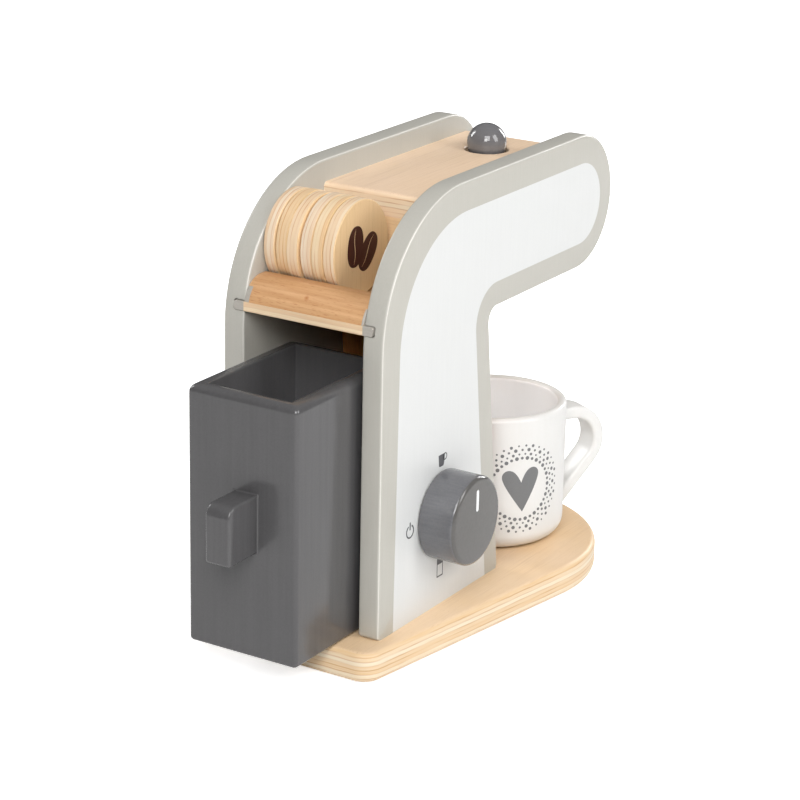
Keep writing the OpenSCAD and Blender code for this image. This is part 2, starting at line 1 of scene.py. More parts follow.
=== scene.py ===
"""Dresses the wooden toy coffee maker: painted panels, bare wood, glossy grey paint and a white mug.

Every length is in millimetres and becomes metres in Piece and Drawing. +Z is up, and -Y is the front,
where the mug stands. An outline on the body is drawn in distance behind the panels' rear edge and in
height above the base board.
"""
from __future__ import annotations
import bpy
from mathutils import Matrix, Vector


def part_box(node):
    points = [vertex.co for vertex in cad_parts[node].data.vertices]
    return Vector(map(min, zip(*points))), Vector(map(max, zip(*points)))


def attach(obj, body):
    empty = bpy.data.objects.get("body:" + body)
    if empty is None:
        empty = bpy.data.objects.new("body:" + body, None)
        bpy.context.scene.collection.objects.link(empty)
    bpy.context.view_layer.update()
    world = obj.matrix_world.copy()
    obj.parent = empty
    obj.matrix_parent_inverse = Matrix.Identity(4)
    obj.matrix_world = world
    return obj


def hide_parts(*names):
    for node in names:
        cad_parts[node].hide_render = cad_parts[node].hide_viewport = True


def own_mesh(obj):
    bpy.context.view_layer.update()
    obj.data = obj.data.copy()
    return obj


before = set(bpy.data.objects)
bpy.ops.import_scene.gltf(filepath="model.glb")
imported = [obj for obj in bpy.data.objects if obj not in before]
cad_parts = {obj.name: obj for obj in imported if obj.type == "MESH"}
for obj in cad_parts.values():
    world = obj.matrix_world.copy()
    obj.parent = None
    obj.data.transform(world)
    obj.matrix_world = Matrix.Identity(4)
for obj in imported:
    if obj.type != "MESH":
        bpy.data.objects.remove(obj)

import copy
import itertools
import logging
import math
from dataclasses import dataclass
from enum import Enum
from typing import Any, Callable, Sequence

import bmesh
import bpy
from mathutils import Matrix, Vector

MM = 0.001
# How near two vertices lie to be joined, to a level to belong to it, and to an opening to be its edge.
WELD = 0.002
NEAR = 0.01
SLACK = 0.05
# How far a cutter runs past the surface that it cuts.
OVER = 1.0
# Edges that bend less than this many degrees look round.
SMOOTH = 32.0
EAST = Vector((1, 0, 0))
NORTH = Vector((0, 1, 0))
TOP = Vector((0, 0, 1))
LOG = logging.getLogger("coffee_maker")
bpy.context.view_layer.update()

Corner = tuple[float, float, float]
Spot = tuple[float, float]
Test = Callable[[Vector], bool]


class Body(Enum):
    """The bodies that a piece can ride on."""

    BODY = "body"
    TANK = "tank"
    BUTTON = "button"
    KNOB = "knob"
    MUG = "mug"
    POD_1 = "pod_1"
    POD_2 = "pod_2"
    POD_3 = "pod_3"
    POD_4 = "pod_4"
    POD_5 = "pod_5"
    POD_6 = "pod_6"


class Slot(Enum):
    """The record's material slots."""

    PLYWOOD = "plywood"
    BEECH = "beech"
    PANEL = "panel_paint"
    GREY = "grey_paint"
    WHITE = "white_paint"
    STEEL = "steel"


class Axis(Enum):
    """The direction across a board's plies or along its grain."""

    X = 0
    Y = 1
    Z = 2


# ---------------------------------------------------------------- finishes


def linear(colour: str) -> tuple[float, float, float, float]:
    """Turns an sRGB hex colour to the linear red, green, blue and alpha that a shader takes."""
    parts = [int(colour[k:k + 2], 16) / 255 for k in (1, 3, 5)]
    red, green, blue = (p / 12.92 if p <= 0.04045 else ((p + 0.055) / 1.055) ** 2.4 for p in parts)
    return red, green, blue, 1.0


def node(tree: Any, kind: str, settings: dict[str, Any] | None = None,
         inputs: dict[Any, Any] | None = None) -> Any:
    """Adds a node with its settings, and links or sets its inputs.

    Args:
        tree: The node tree.
        kind: The node's type name, without its "ShaderNode" prefix.
        settings: Properties of the node.
        inputs: Values or output sockets, by the input's name or number.

    Returns:
        The new node.
    """
    made = tree.nodes.new("ShaderNode" + kind)
    for name, value in (settings or {}).items():
        setattr(made, name, value)
    for name, value in (inputs or {}).items():
        if isinstance(value, bpy.types.NodeSocket):
            tree.links.new(value, made.inputs[name])
        else:
            made.inputs[name].default_value = value
    return made


def ramp(tree: Any, value: Any, stops: Sequence[tuple[float, str]]) -> Any:
    """Adds a colour ramp, with stops of a position and an sRGB hex colour, and returns its socket."""
    made = node(tree, "ValToRGB", inputs={"Fac": value})
    elements = made.color_ramp.elements
    while len(elements) < len(stops):
        elements.new(0.5)
    for element, (place, colour) in zip(elements, stops):
        element.position = place
        element.color = linear(colour)
    return made.outputs["Color"]


def math_node(tree: Any, operation: str, *values: Any) -> Any:
    """Adds a math node for numbers or sockets, and returns its output."""
    return node(tree, "Math", {"operation": operation}, dict(enumerate(values))).outputs[0]


def mix(tree: Any, share: Any, low: Any, high: Any, blend: str = "MIX") -> Any:
    """Mixes a share of the second colour with the first one, and returns the result's socket."""
    return node(tree, "Mix", {"data_type": "RGBA", "blend_type": blend, "clamp_factor": True},
                {0: share, 6: low, 7: high}).outputs[2]


def noise(tree: Any, place: Any, stretch: Sequence[float], detail: float = 3.0, rough: float = 0.5,
          shift: float = 0.0) -> Any:
    """Adds noise whose grains have a given size on each axis.

    Args:
        tree: The node tree.
        place: The socket with the place on the object.
        stretch: The size of a grain on X, Y and Z.
        detail: Octaves of the noise.
        rough: How strong the fine octaves are.
        shift: Moves the pattern, so that two patterns differ.

    Returns:
        The noise's value, about 0.3 to 0.7.
    """
    scale = node(tree, "Mapping", inputs={
        "Vector": place, "Location": (shift, shift * 1.7, shift * 0.6),
        "Scale": tuple(1 / (size * MM) for size in stretch)})
    return node(tree, "TexNoise", inputs={
        "Vector": scale.outputs[0], "Scale": 1.0, "Detail": detail, "Roughness": rough}).outputs["Fac"]


def remap(tree: Any, value: Any, least: float, most: float, start: float = 0.0, end: float = 1.0) -> Any:
    """Maps the range from least to most to the one from start to end, and returns the socket."""
    return node(tree, "MapRange", inputs={
        "Value": value, "From Min": least, "From Max": most, "To Min": start, "To Max": end}).outputs[0]


def stretched(axis: Axis, along: float, across: float) -> list[float]:
    """Returns the size of a grain that is one length along an axis and another one across it."""
    size = [across] * 3
    size[axis.value] = along
    return size


@dataclass(frozen=True)
class Finish:
    """What a surface is made of. A finish gives one material, made once."""

    name: str

    def material(self) -> bpy.types.Material:
        """Returns the finish's material."""
        found = bpy.data.materials.get(self.name)
        if found:
            return found
        made = bpy.data.materials.new(self.name)
        made.use_nodes = True
        tree = made.node_tree
        tree.nodes.clear()
        shader = node(tree, "BsdfPrincipled")
        out = node(tree, "OutputMaterial")
        tree.links.new(shader.outputs[0], out.inputs["Surface"])
        place = node(tree, "TexCoord").outputs["Object"]
        self.dress(tree, shader, place)
        return made

    def dress(self, tree: Any, shader: Any, place: Any) -> None:
        """Adds the finish's colour, roughness and bump.

        Args:
            tree: The node tree.
            shader: The Principled shader.
            place: The socket with the place on the object.
        """
        raise NotImplementedError


def relief(tree: Any, shader: Any, height: Any, depth: float, strength: float) -> None:
    """Gives the shader a bump from a height of 0 to 1 that is so many mm deep."""
    bump = node(tree, "Bump", inputs={"Height": height, "Distance": depth * MM, "Strength": strength})
    tree.links.new(bump.outputs[0], shader.inputs["Normal"])


@dataclass(frozen=True)
class BirchPlywood(Finish):
    """Birch plywood, sanded and clear-lacquered: a pale face, and plies in soft bands at its edges."""

    across: Axis = Axis.Z
    low: float = 0.0
    thickness: float = 12.0
    plies: int = 9
    grain: Axis = Axis.Y
    face: str = "#F4D9BA"
    pale: str = "#F3E4CA"
    tan: str = "#E7C598"
    glue: str = "#BE8A55"
    line: float = 0.75
    seed: float = 0.0
    roughness: float = 0.4

    def edge(self, tree: Any, place: Any, share: Any) -> Any:
        """Adds the plies as they show on an edge.

        Args:
            tree: The node tree.
            place: The socket with the place on the object.
            share: The share of the thickness, from 0 to 1.

        Returns:
            The colour socket.
        """
        count = math_node(tree, "MULTIPLY", share, float(self.plies))
        number = math_node(tree, "ADD", math_node(tree, "FLOOR", count), self.seed)
        tone = node(tree, "TexWhiteNoise", {"noise_dimensions": "1D"}, {"W": number}).outputs["Value"]
        # Fibres lie along the plies: 0.3 mm across them and 16 mm along the edge.
        fibre = noise(tree, place, stretched(self.across, 0.3, 16.0), 3, 0.6, self.seed)
        tone = math_node(tree, "MULTIPLY_ADD", fibre, 1.2, math_node(tree, "SUBTRACT", math_node(
            tree, "MULTIPLY", tone, 0.8), 0.5))
        colour = mix(tree, tone, linear(self.pale), linear(self.tan))
        # The glue line comes and goes along the edge. It fades out over 0.3 mm to each side, coarser than
        # the real tenth of a millimetre, so that it still shows from a metre away.
        off = math_node(tree, "SUBTRACT", math_node(tree, "FRACT", count), 0.5)
        ply = self.thickness / self.plies
        line = remap(tree, math_node(tree, "ABSOLUTE", off), 0.5 - 0.3 / ply, 0.5 - 0.06 / ply)
        patch = noise(tree, place, stretched(self.across, 1.6, 22.0), 2, 0.5, self.seed + 4)
        cover = remap(tree, patch, 0.38, 0.62, 0.1, self.line)
        return mix(tree, math_node(tree, "MULTIPLY", line, cover), colour, linear(self.glue))

    def veneer(self, tree: Any, place: Any, fibre: Any) -> Any:
        """Adds the face veneer: soft clouds, faint streaks and short pores along the grain.

        Args:
            tree: The node tree.
            place: The socket with the place on the object.
            fibre: The long grain's noise.

        Returns:
            The colour socket.
        """
        cloud = noise(tree, place, (26, 26, 26), 2, 0.5, 5.0)
        colour = mix(tree, cloud, linear(self.face), linear(self.tan))
        streak = ramp(tree, fibre, [(0.3, "#E2D9CE"), (0.5, "#FFFFFF"), (0.7, "#EFE8DD")])
        # Pores are a tenth of a millimetre wide: drawn at 0.35, so that they show.
        short = noise(tree, place, stretched(self.grain, 3.0, 0.35), 2, 0.7, 3.0)
        pore = ramp(tree, short, [(0.28, "#E2D2BC"), (0.38, "#FFFFFF")])
        return mix(tree, 0.4, mix(tree, 0.5, colour, streak, "MULTIPLY"), pore, "MULTIPLY")

    def dress(self, tree: Any, shader: Any, place: Any) -> None:
        """Adds the bands of the plies and, in the outer half millimetre, the face veneer."""
        depth = node(tree, "SeparateXYZ", inputs={0: place}).outputs[self.across.value]
        wander = math_node(tree, "SUBTRACT", noise(tree, place, (9, 9, 9), 2, 0.5, self.seed), 0.5)
        depth = math_node(tree, "MULTIPLY_ADD", wander, 0.6 * MM, depth)
        height = math_node(tree, "SUBTRACT", depth, self.low * MM)
        share = math_node(tree, "DIVIDE", height, self.thickness * MM)
        fibre = noise(tree, place, stretched(self.grain, 40.0, 0.8), 4, 0.6)
        off = math_node(tree, "ABSOLUTE", math_node(tree, "SUBTRACT", share, 0.5))
        outer = remap(tree, off, 0.5 - 0.55 / self.thickness, 0.5 - 0.35 / self.thickness)
        colour = mix(tree, outer, self.edge(tree, place, share), self.veneer(tree, place, fibre))
        tree.links.new(colour, shader.inputs["Base Color"])
        shader.inputs["Roughness"].default_value = self.roughness
        relief(tree, shader, fibre, 0.03, 0.4)


@dataclass(frozen=True)
class Beech(Finish):
    """Planed beech, bare or thinly lacquered: warm tan, with short dark flecks and soft long grain."""

    grain: Axis = Axis.X
    colour: str = "#DDA775"
    dark: str = "#C98D58"
    light: str = "#E6B98C"
    knot: tuple[float, float, float] = (0.0, 0.0, -100.0)

    def dress(self, tree: Any, shader: Any, place: Any) -> None:
        """Adds the long grain, the flecks and one small knot."""
        grain = noise(tree, place, stretched(self.grain, 38.0, 1.6), 4, 0.6)
        tone = ramp(tree, grain, [(0.32, self.dark), (0.5, self.colour), (0.68, self.light)])
        # Beech's rays are flecks of 2.6 mm by 0.3 mm.
        short = noise(tree, place, stretched(self.grain, 2.6, 0.3), 1, 0.5, 7.0)
        fleck = ramp(tree, short, [(0.28, "#D3A881"), (0.40, "#FFFFFF")])
        tone = mix(tree, 0.5, tone, fleck, "MULTIPLY")
        away = node(tree, "VectorMath", {"operation": "DISTANCE"}, {
            0: place, 1: tuple(v * MM for v in self.knot)}).outputs["Value"]
        mark = remap(tree, away, 0.2 * MM, 1.2 * MM, 0.8, 0.0)
        tone = mix(tree, mark, tone, linear("#B4713A"))
        tree.links.new(tone, shader.inputs["Base Color"])
        shader.inputs["Roughness"].default_value = 0.4
        relief(tree, shader, grain, 0.03, 0.5)


@dataclass(frozen=True)
class Paint(Finish):
    """Lacquer paint on wood, whose grain shows faintly through it.

    The fibre and the run are the width and the length of the grain's waves, and the depth is the relief
    that they leave.
    """

    colour: str
    shade: str
    roughness: float
    grain: Axis
    fibre: float
    run: float
    depth: float
    coat: float = 0.0

    def dress(self, tree: Any, shader: Any, place: Any) -> None:
        """Adds the faint grain, a fine mottle and the uneven gloss of paint."""
        grain = noise(tree, place, stretched(self.grain, self.run, self.fibre), 4, 0.6)
        # Orange peel is 0.7 mm wide, and the gloss drifts over 14 mm.
        mottle = noise(tree, place, (0.7, 0.7, 0.7), 2, 0.5, 2.0)
        both = math_node(tree, "MULTIPLY_ADD", mottle, 0.4, math_node(tree, "MULTIPLY", grain, 0.6))
        tone = mix(tree, remap(tree, both, 0.32, 0.68), linear(self.shade), linear(self.colour))
        tree.links.new(tone, shader.inputs["Base Color"])
        wide = noise(tree, place, (14, 14, 14), 2, 0.5, 9.0)
        gloss = remap(tree, wide, 0.3, 0.7, self.roughness * 0.85, self.roughness * 1.15)
        tree.links.new(gloss, shader.inputs["Roughness"])
        shader.inputs["Coat Weight"].default_value = self.coat
        shader.inputs["Coat Roughness"].default_value = 0.08
        relief(tree, shader, grain, self.depth, 0.5)


@dataclass(frozen=True)
class Ink(Finish):
    """Pad-printed ink: a thin flat film with slightly uneven cover."""

    colour: str
    light: str

    def dress(self, tree: Any, shader: Any, place: Any) -> None:
        """Adds the film's colour with a faint speckle of thin cover."""
        speckle = noise(tree, place, (0.35, 0.35, 0.35), 2)
        tone = mix(tree, speckle, linear(self.colour), linear(self.light))
        tree.links.new(tone, shader.inputs["Base Color"])
        shader.inputs["Roughness"].default_value = 0.5
        relief(tree, shader, speckle, 0.004, 0.4)


@dataclass(frozen=True)
class ZincSteel(Finish):
    """Zinc-plated steel: bright grey metal with a fine crystal mottle."""

    def dress(self, tree: Any, shader: Any, place: Any) -> None:
        """Adds the plated metal's mottle."""
        # The crystals are drawn at half a millimetre, coarser than real, so that they show.
        grain = noise(tree, place, (0.5, 0.5, 0.5), 3)
        tree.links.new(mix(tree, grain, linear("#A4A5AA"), linear("#CFCFD2")), shader.inputs["Base Color"])
        shader.inputs["Metallic"].default_value = 1.0
        shader.inputs["Roughness"].default_value = 0.35
        relief(tree, shader, grain, 0.01, 0.4)


# Satin taupe lacquer over sealed wood: a flat warm grey with a soft broad sheen and hardly any grain.
TAUPE = Paint("satin_taupe_paint", "#BBB8B0", "#B6B4AB", 0.34, Axis.Z, 0.8, 14.0, 0.003)
# Its rolled edges: a painted highlight, a thin paler and shinier line that follows the outline where the
# rounding catches the light.
TAUPE_PAINTED_HIGHLIGHT = Paint("satin_taupe_paint_painted_highlight", "#DAD8D1", "#D4D1CA", 0.25, Axis.Z, 0.8, 14.0, 0.003)
# The same paint where it strayed onto bare wood: thin, duller and a little blotchy.
STRAY_PAINT = Paint("satin_taupe_paint_thin", "#B5B0A8", "#ABA59C", 0.4, Axis.X, 0.8, 6.0, 0.01)
# Satin white over a masked field: cooler and smoother than the taupe, so that its outline reads crisp.
FIELD = Paint("satin_white_paint", "#D9DAD9", "#D6D7D6", 0.36, Axis.Z, 1.2, 30.0, 0.01)
# Thick grey enamel over open grain: dark, with reflections drawn out to soft upright streaks.
GREY = Paint("gloss_grey_enamel", "#565556", "#504F50", 0.19, Axis.Z, 2.4, 70.0, 0.02, 0.05)
# The same enamel on a turned face: a lighter, even grey with a tight bright line along the rim.
KNOB_GREY = Paint("gloss_grey_enamel_turned", "#605E5C", "#5B5957", 0.13, Axis.X, 1.4, 40.0, 0.006, 0.05)
# The knob's side, where the brush went along its axis: short pale strokes, on a lighter and cooler grey
# that is a painted sheen of the lamps reflecting off it.
KNOB_SIDE_PAINTED_SHEEN = Paint("gloss_grey_enamel_brushed_painted_sheen", "#6D6D70", "#626265", 0.17, Axis.X, 0.9, 9.0, 0.02, 0.05)
# The ball was dipped: the smoothest coat of all, with a small sharp reflection of every lamp. Its grey is
# painted lighter than the knob's, a painted reflection of the pale wood and surroundings.
BALL_GREY = Paint("gloss_grey_enamel_dipped_painted_reflection", "#717072", "#6C6B6D", 0.07, Axis.X, 1.4, 40.0, 0.004, 0.2)
# Satin white paint on the mug: clean and milky, with weak wide highlights down its side.
MUG_WHITE = Paint("satin_white_mug_paint", "#DEDDDB", "#DCDBD8", 0.34, Axis.Z, 2.0, 20.0, 0.006, 0.05)
# The same white inside the mug, painted brighter than the outside: painted light, so that the cup looks
# light down to its floor.
MUG_INSIDE_PAINTED_LIGHT = Paint("satin_white_mug_inside_painted_light", "#F5F5F5", "#F3F3F3", 0.34, Axis.Z, 2.0, 20.0, 0.006, 0.05)
# Zinc plating on the screws, the washer and the spring: bright grey metal with a fine crystal mottle.
STEEL = ZincSteel("zinc_plated_steel")
# Bare planed beech: warm tan with short dark flecks.
BEECH = Beech("planed_beech")
# Beech deeper and redder than the rest: partly the wood's own tone, partly painted warm bounce light, so
# that it glows orange in the shade behind the tank.
SHADED_BEECH = Beech("beech_with_painted_bounce", Axis.Z, "#D98F4C", "#CC8343", "#E09A5A")
# Pad-printed inks: flat films with a faint speckle. Grey on the mug.
INK_GREY = Ink("grey_print_ink", "#6B6C6D", "#767778")
# Darker grey round the knob, so that the thin lines stay legible.
INK_DARK = Ink("dark_print_ink", "#4B4B4E", "#56565A")
# Coffee brown on the last pod, almost black against the birch.
INK_BROWN = Ink("brown_print_ink", "#3A140E", "#431B13")
# White on the knob's bar: a crisp line, the brightest spot on the grey.
INK_WHITE = Ink("white_print_ink", "#F4F4F4", "#ECECEC")


# ---------------------------------------------------------------- modelling


@dataclass(frozen=True)
class Drawing:
    """A plane that an outline is drawn on: its origin and two directions."""

    origin: Vector
    across: Vector
    up: Vector

    def at(self, a: float, b: float) -> Vector:
        """Returns the place of a point of the drawing."""
        return self.origin + self.across * a + self.up * b

    def normal(self) -> Vector:
        """Returns the direction that a positive turn goes round."""
        return self.across.cross(self.up)


def bends(corners: Sequence[Corner]) -> list[tuple[Spot, Spot, float]]:
    """Finds where each rounded corner of a closed outline starts, its centre and its turn.

    Args:
        corners: Corner points, each with the radius of its bend.

    Returns:
        For each corner, the start of its bend, the bend's centre and the angle turned, in degrees.
    """
    found = []
    for k, (x, y, radius) in enumerate(corners):
        here = Vector((x, y))
        before = (here - Vector(corners[k - 1][:2])).normalized()
        after = (Vector(corners[(k + 1) % len(corners)][:2]) - here).normalized()
        turn = math.atan2(before.x * after.y - before.y * after.x, before.dot(after))
        start = here - before * radius * math.tan(abs(turn) / 2)
        side = Vector((-before.y, before.x)) * math.copysign(radius, turn)
        found.append((tuple(start), tuple(start + side), math.degrees(turn) if radius else 0.0))
    return found


def rectangle(first: Sequence[float], last: Sequence[float], *radii: float) -> list[Corner]:
    """Returns a rectangle's corners, with one radius or with four in a positive turn from the first."""
    (x0, y0), (x1, y1) = first, last
    places = (x0, y0), (x1, y0), (x1, y1), (x0, y1)
    return [(x, y, radius) for (x, y), radius in zip(places, itertools.cycle(radii))]


def deselect() -> None:
    """Leaves edit mode and deselects everything."""
    active = bpy.context.object
    if active and active.mode == "EDIT":
        bpy.ops.object.mode_set(mode="OBJECT")
    bpy.ops.object.select_all(action="DESELECT")


def curve(start: Spot, pull: Spot, end: Spot, steps: int = 12) -> list[Spot]:
    """Returns the points of a soft curve whose ends both head for the pull, without its last point."""
    points = []
    for k in range(steps):
        t = k / steps
        points.append(tuple((1 - t) ** 2 * a + 2 * t * (1 - t) * b + t * t * c
                            for a, b, c in zip(start, pull, end)))
    return points


class Piece:
    """One mesh while it is modelled by hand steps in edit mode."""

    def __init__(self, name: str, drawing: Drawing) -> None:
        """Starts a piece as the one vertex that its outline is drawn from."""
        self.drawing = drawing
        self.here = Vector((0, 0))
        deselect()
        bpy.ops.mesh.primitive_plane_add(size=MM, location=(0, 0, 0))
        self.obj = bpy.context.object
        self.obj.name = self.obj.data.name = name
        bpy.ops.object.mode_set(mode="EDIT")
        bpy.ops.mesh.select_mode(type="VERT")
        bpy.ops.mesh.select_all(action="SELECT")
        bpy.ops.mesh.merge(type="CENTER")

    def start(self, spot: Spot) -> Piece:
        """Puts the pen down at a point of the drawing."""
        bpy.ops.transform.translate(value=self.drawing.at(*spot) * MM)
        self.here = Vector(spot)
        return self

    def pull(self, way: Vector) -> Piece:
        """Extrudes the selection by a way in mm."""
        bpy.ops.mesh.extrude_region_move(TRANSFORM_OT_translate={"value": way * MM})
        return self

    def line(self, *spots: Spot) -> Piece:
        """Draws straight lines to points of the drawing."""
        for spot in spots:
            if (Vector(spot) - self.here).length > 1e-5:
                self.pull(self.drawing.at(*spot) - self.drawing.at(*self.here))
                self.here = Vector(spot)
        return self

    def arc(self, centre: Spot, turn: float, finest: float = 4.0) -> Piece:
        """Draws an arc by degrees, positive from across towards up, in steps of the finest or less."""
        steps = max(2, math.ceil(abs(turn) / finest))
        bpy.ops.mesh.spin(steps=steps, angle=-math.radians(turn), center=self.drawing.at(*centre) * MM,
                          axis=self.drawing.normal())
        around = Matrix.Rotation(math.radians(turn), 2)
        self.here = Vector(centre) + around @ (self.here - Vector(centre))
        return self

    def round(self, corners: Sequence[Corner], finest: float = 4.0) -> Piece:
        """Draws a closed outline with rounded corners, in steps of the finest or less, and fills it."""
        path = bends(corners)
        self.start(path[0][0])
        for start, centre, turn in path:
            self.line(start)
            if turn:
                self.arc(centre, turn, finest)
        return self.line(path[0][0]).fill()

    def all(self) -> Piece:
        """Selects the whole mesh."""
        bpy.ops.mesh.select_all(action="SELECT")
        return self

    def weld(self) -> Piece:
        """Joins the vertices that lie at one place."""
        self.all()
        bpy.ops.mesh.remove_doubles(threshold=WELD * MM)
        return self

    def fill(self) -> Piece:
        """Joins the ends of the line and fills it."""
        self.weld()
        bpy.ops.mesh.edge_face_add()
        return self

    def outwards(self) -> Piece:
        """Turns every face outwards."""
        self.all()
        bpy.ops.mesh.normals_make_consistent(inside=False)
        return self

    def raise_by(self, height: float) -> Piece:
        """Gives a flat face its thickness along the drawing's normal."""
        return self.pull(self.drawing.normal() * height).outwards()

    def lathe(self, steps: int) -> Piece:
        """Turns the drawn line round the drawing's upright to a closed solid."""
        self.all()
        bpy.ops.mesh.spin(steps=steps, angle=math.tau, center=self.drawing.origin * MM,
                          axis=self.drawing.up)
        return self.weld().outwards()

    def pick(self, test: Test, keep: Test | None = None) -> Piece:
        """Selects the edges whose ends pass a test in mm, but for those whose ends pass another one."""
        bpy.ops.mesh.select_mode(type="EDGE")
        bpy.ops.mesh.select_all(action="DESELECT")
        for edge in bmesh.from_edit_mesh(self.obj.data).edges:
            ends = [v.co / MM for v in edge.verts]
            edge.select_set(all(map(test, ends)) and not (keep and all(map(keep, ends))))
        bmesh.update_edit_mesh(self.obj.data)
        return self

    def bevel(self, width: float, segments: int = 4, profile: float = 0.5) -> Piece:
        """Rounds the selected edges, or hollows them with a low profile."""
        bpy.ops.mesh.bevel(offset=width * MM, segments=segments, affect="EDGES", profile=profile)
        return self

    def rims(self, width: float, segments: int = 4, keep: Test | None = None) -> Piece:
        """Rounds the edges round both flat ends of a piece that was raised from its drawing.

        Args:
            width: The radius.
            segments: Steps of the rounding.
            keep: A test of the vertices whose edges stay sharp.

        Returns:
            The piece.
        """
        normal = self.drawing.normal()
        places = [v.co.dot(normal) / MM for v in bmesh.from_edit_mesh(self.obj.data).verts]
        for level in (min(places), max(places)):
            self.pick(lambda p, at=level: abs(p.dot(normal) - at) < NEAR, keep).bevel(width, segments)
        return self

    def slice(self, place: Vector, normal: Vector) -> Piece:
        """Adds an edge loop where a plane crosses the piece."""
        self.all()
        bpy.ops.mesh.bisect(plane_co=place * MM, plane_no=normal)
        return self

    def object(self) -> bpy.types.Object:
        """Leaves edit mode and returns the object."""
        if self.obj.mode == "EDIT":
            bpy.ops.object.mode_set(mode="OBJECT")
        return self.obj

    def select(self) -> Piece:
        """Makes this the only selected and the active object."""
        deselect()
        self.obj.select_set(True)
        bpy.context.view_layer.objects.active = self.obj
        return self

    def edit(self) -> Piece:
        """Goes back to edit mode."""
        self.select()
        bpy.ops.object.mode_set(mode="EDIT")
        return self

    def modify(self, kind: str, **settings: Any) -> Piece:
        """Adds a modifier with its settings, and applies it."""
        self.object()
        self.select()
        modifier = self.obj.modifiers.new(kind.lower(), kind)
        for name, value in settings.items():
            setattr(modifier, name, value)
        bpy.ops.object.modifier_apply(modifier=modifier.name)
        return self

    def cut(self, tool: Piece) -> Piece:
        """Takes another piece away from this one, and removes it."""
        other = tool.object()
        self.modify("BOOLEAN", operation="DIFFERENCE", solver="EXACT", object=other)
        bpy.data.objects.remove(other)
        return self

    def twin(self, name: str, shift: Vector) -> Piece:
        """Copies the bare piece, with its own mesh, and moves the copy by a shift."""
        other = copy.copy(self)
        other.obj = self.object().copy()
        other.obj.data = self.obj.data.copy()
        other.obj.name = other.obj.data.name = name
        other.obj.data.transform(Matrix.Translation(shift * MM))
        bpy.context.collection.objects.link(other.obj)
        return other

    def paint(self, finish: Finish, test: Test | None = None) -> Piece:
        """Gives the piece, or the faces whose middle passes a test in mm, a finish."""
        mesh = self.object().data
        mesh.materials.append(finish.material())
        for face in mesh.polygons:
            if test and test(face.center / MM):
                face.material_index = len(mesh.materials) - 1
        return self

    def done(self, body: Body, slot: Slot, *nodes: str) -> bpy.types.Object:
        """Smooths the piece, and says what it rides on and stands for.

        Args:
            body: The body that it rides on.
            slot: The record's material slot; not used.
            nodes: CAD nodes that the piece stands for.

        Returns:
            The finished object.
        """
        obj = self.object()
        self.select()
        bpy.ops.object.shade_smooth_by_angle(angle=math.radians(SMOOTH))
        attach(obj, body.value)
        if nodes:
            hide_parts(*nodes)
        LOG.info("%s: %d faces on %s", obj.name, len(obj.data.polygons), body.value)
        return obj


def low(name: str) -> Vector:
    """Returns the lowest corner of a CAD node, in mm."""
    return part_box(name)[0] / MM


def high(name: str) -> Vector:
    """Returns the highest corner of a CAD node, in mm."""
    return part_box(name)[1] / MM


def middle(name: str) -> Vector:
    """Returns the middle of a CAD node's box, in mm."""
    return (low(name) + high(name)) / 2


def cad_finish(finish: Finish, *nodes: str) -> None:
    """Gives CAD nodes a finish through their objects' material slots."""
    for name in nodes:
        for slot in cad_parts[name].material_slots:
            slot.link = "OBJECT"
            slot.material = finish.material()
        LOG.info("%s: %s", name, finish.name)


def body_drawing(x: float) -> Drawing:
    """Returns the side view's drawing: distance behind the rear edge, and height above the base."""
    return Drawing(Vector((x, high("right_side_panel").y, low("right_side_panel").z)), NORTH, TOP)


def rod(name: str, view: Drawing, radius: float, length: float, flare: float = 0.0,
        steps: int = 64) -> Piece:
    """Models a round rod or cutter on a drawing's upright.

    Args:
        name: The piece's name.
        view: The drawing, from the middle of the first end.
        radius: Its radius.
        length: Its length.
        flare: How much wider the last end is, at the surface that it cuts.
        steps: Steps round the axis.

    Returns:
        The piece.
    """
    made = Piece(name, view).start((0, 0)).line((radius, 0))
    if flare:
        surface = length - OVER
        made.line((radius, surface - flare), (radius + flare, surface), (radius + flare, length))
    else:
        made.line((radius, length))
    return made.line((0, length)).lathe(steps)


def disc(name: str, view: Drawing, radius: float, tall: float, rims: tuple[float, float],
         finest: tuple[float, float], steps: int) -> Piece:
    """Models a turned disc with two rounded rims.

    Args:
        name: The piece's name.
        view: The drawing, from the middle of the first face.
        radius: Its radius.
        tall: Its thickness.
        rims: The radius of the first and the last rim.
        finest: The largest angle of one step of each rim.
        steps: Steps round the axis.

    Returns:
        The piece.
    """
    first, last = rims
    made = Piece(name, view).start((0, 0)).line((radius - first, 0))
    made.arc((radius - first, first), 90, finest[0]).line((radius, tall - last))
    return made.arc((radius - last, tall - last), 90, finest[1]).line((0, tall)).lathe(steps)


# ---------------------------------------------------------------- sub-assemblies


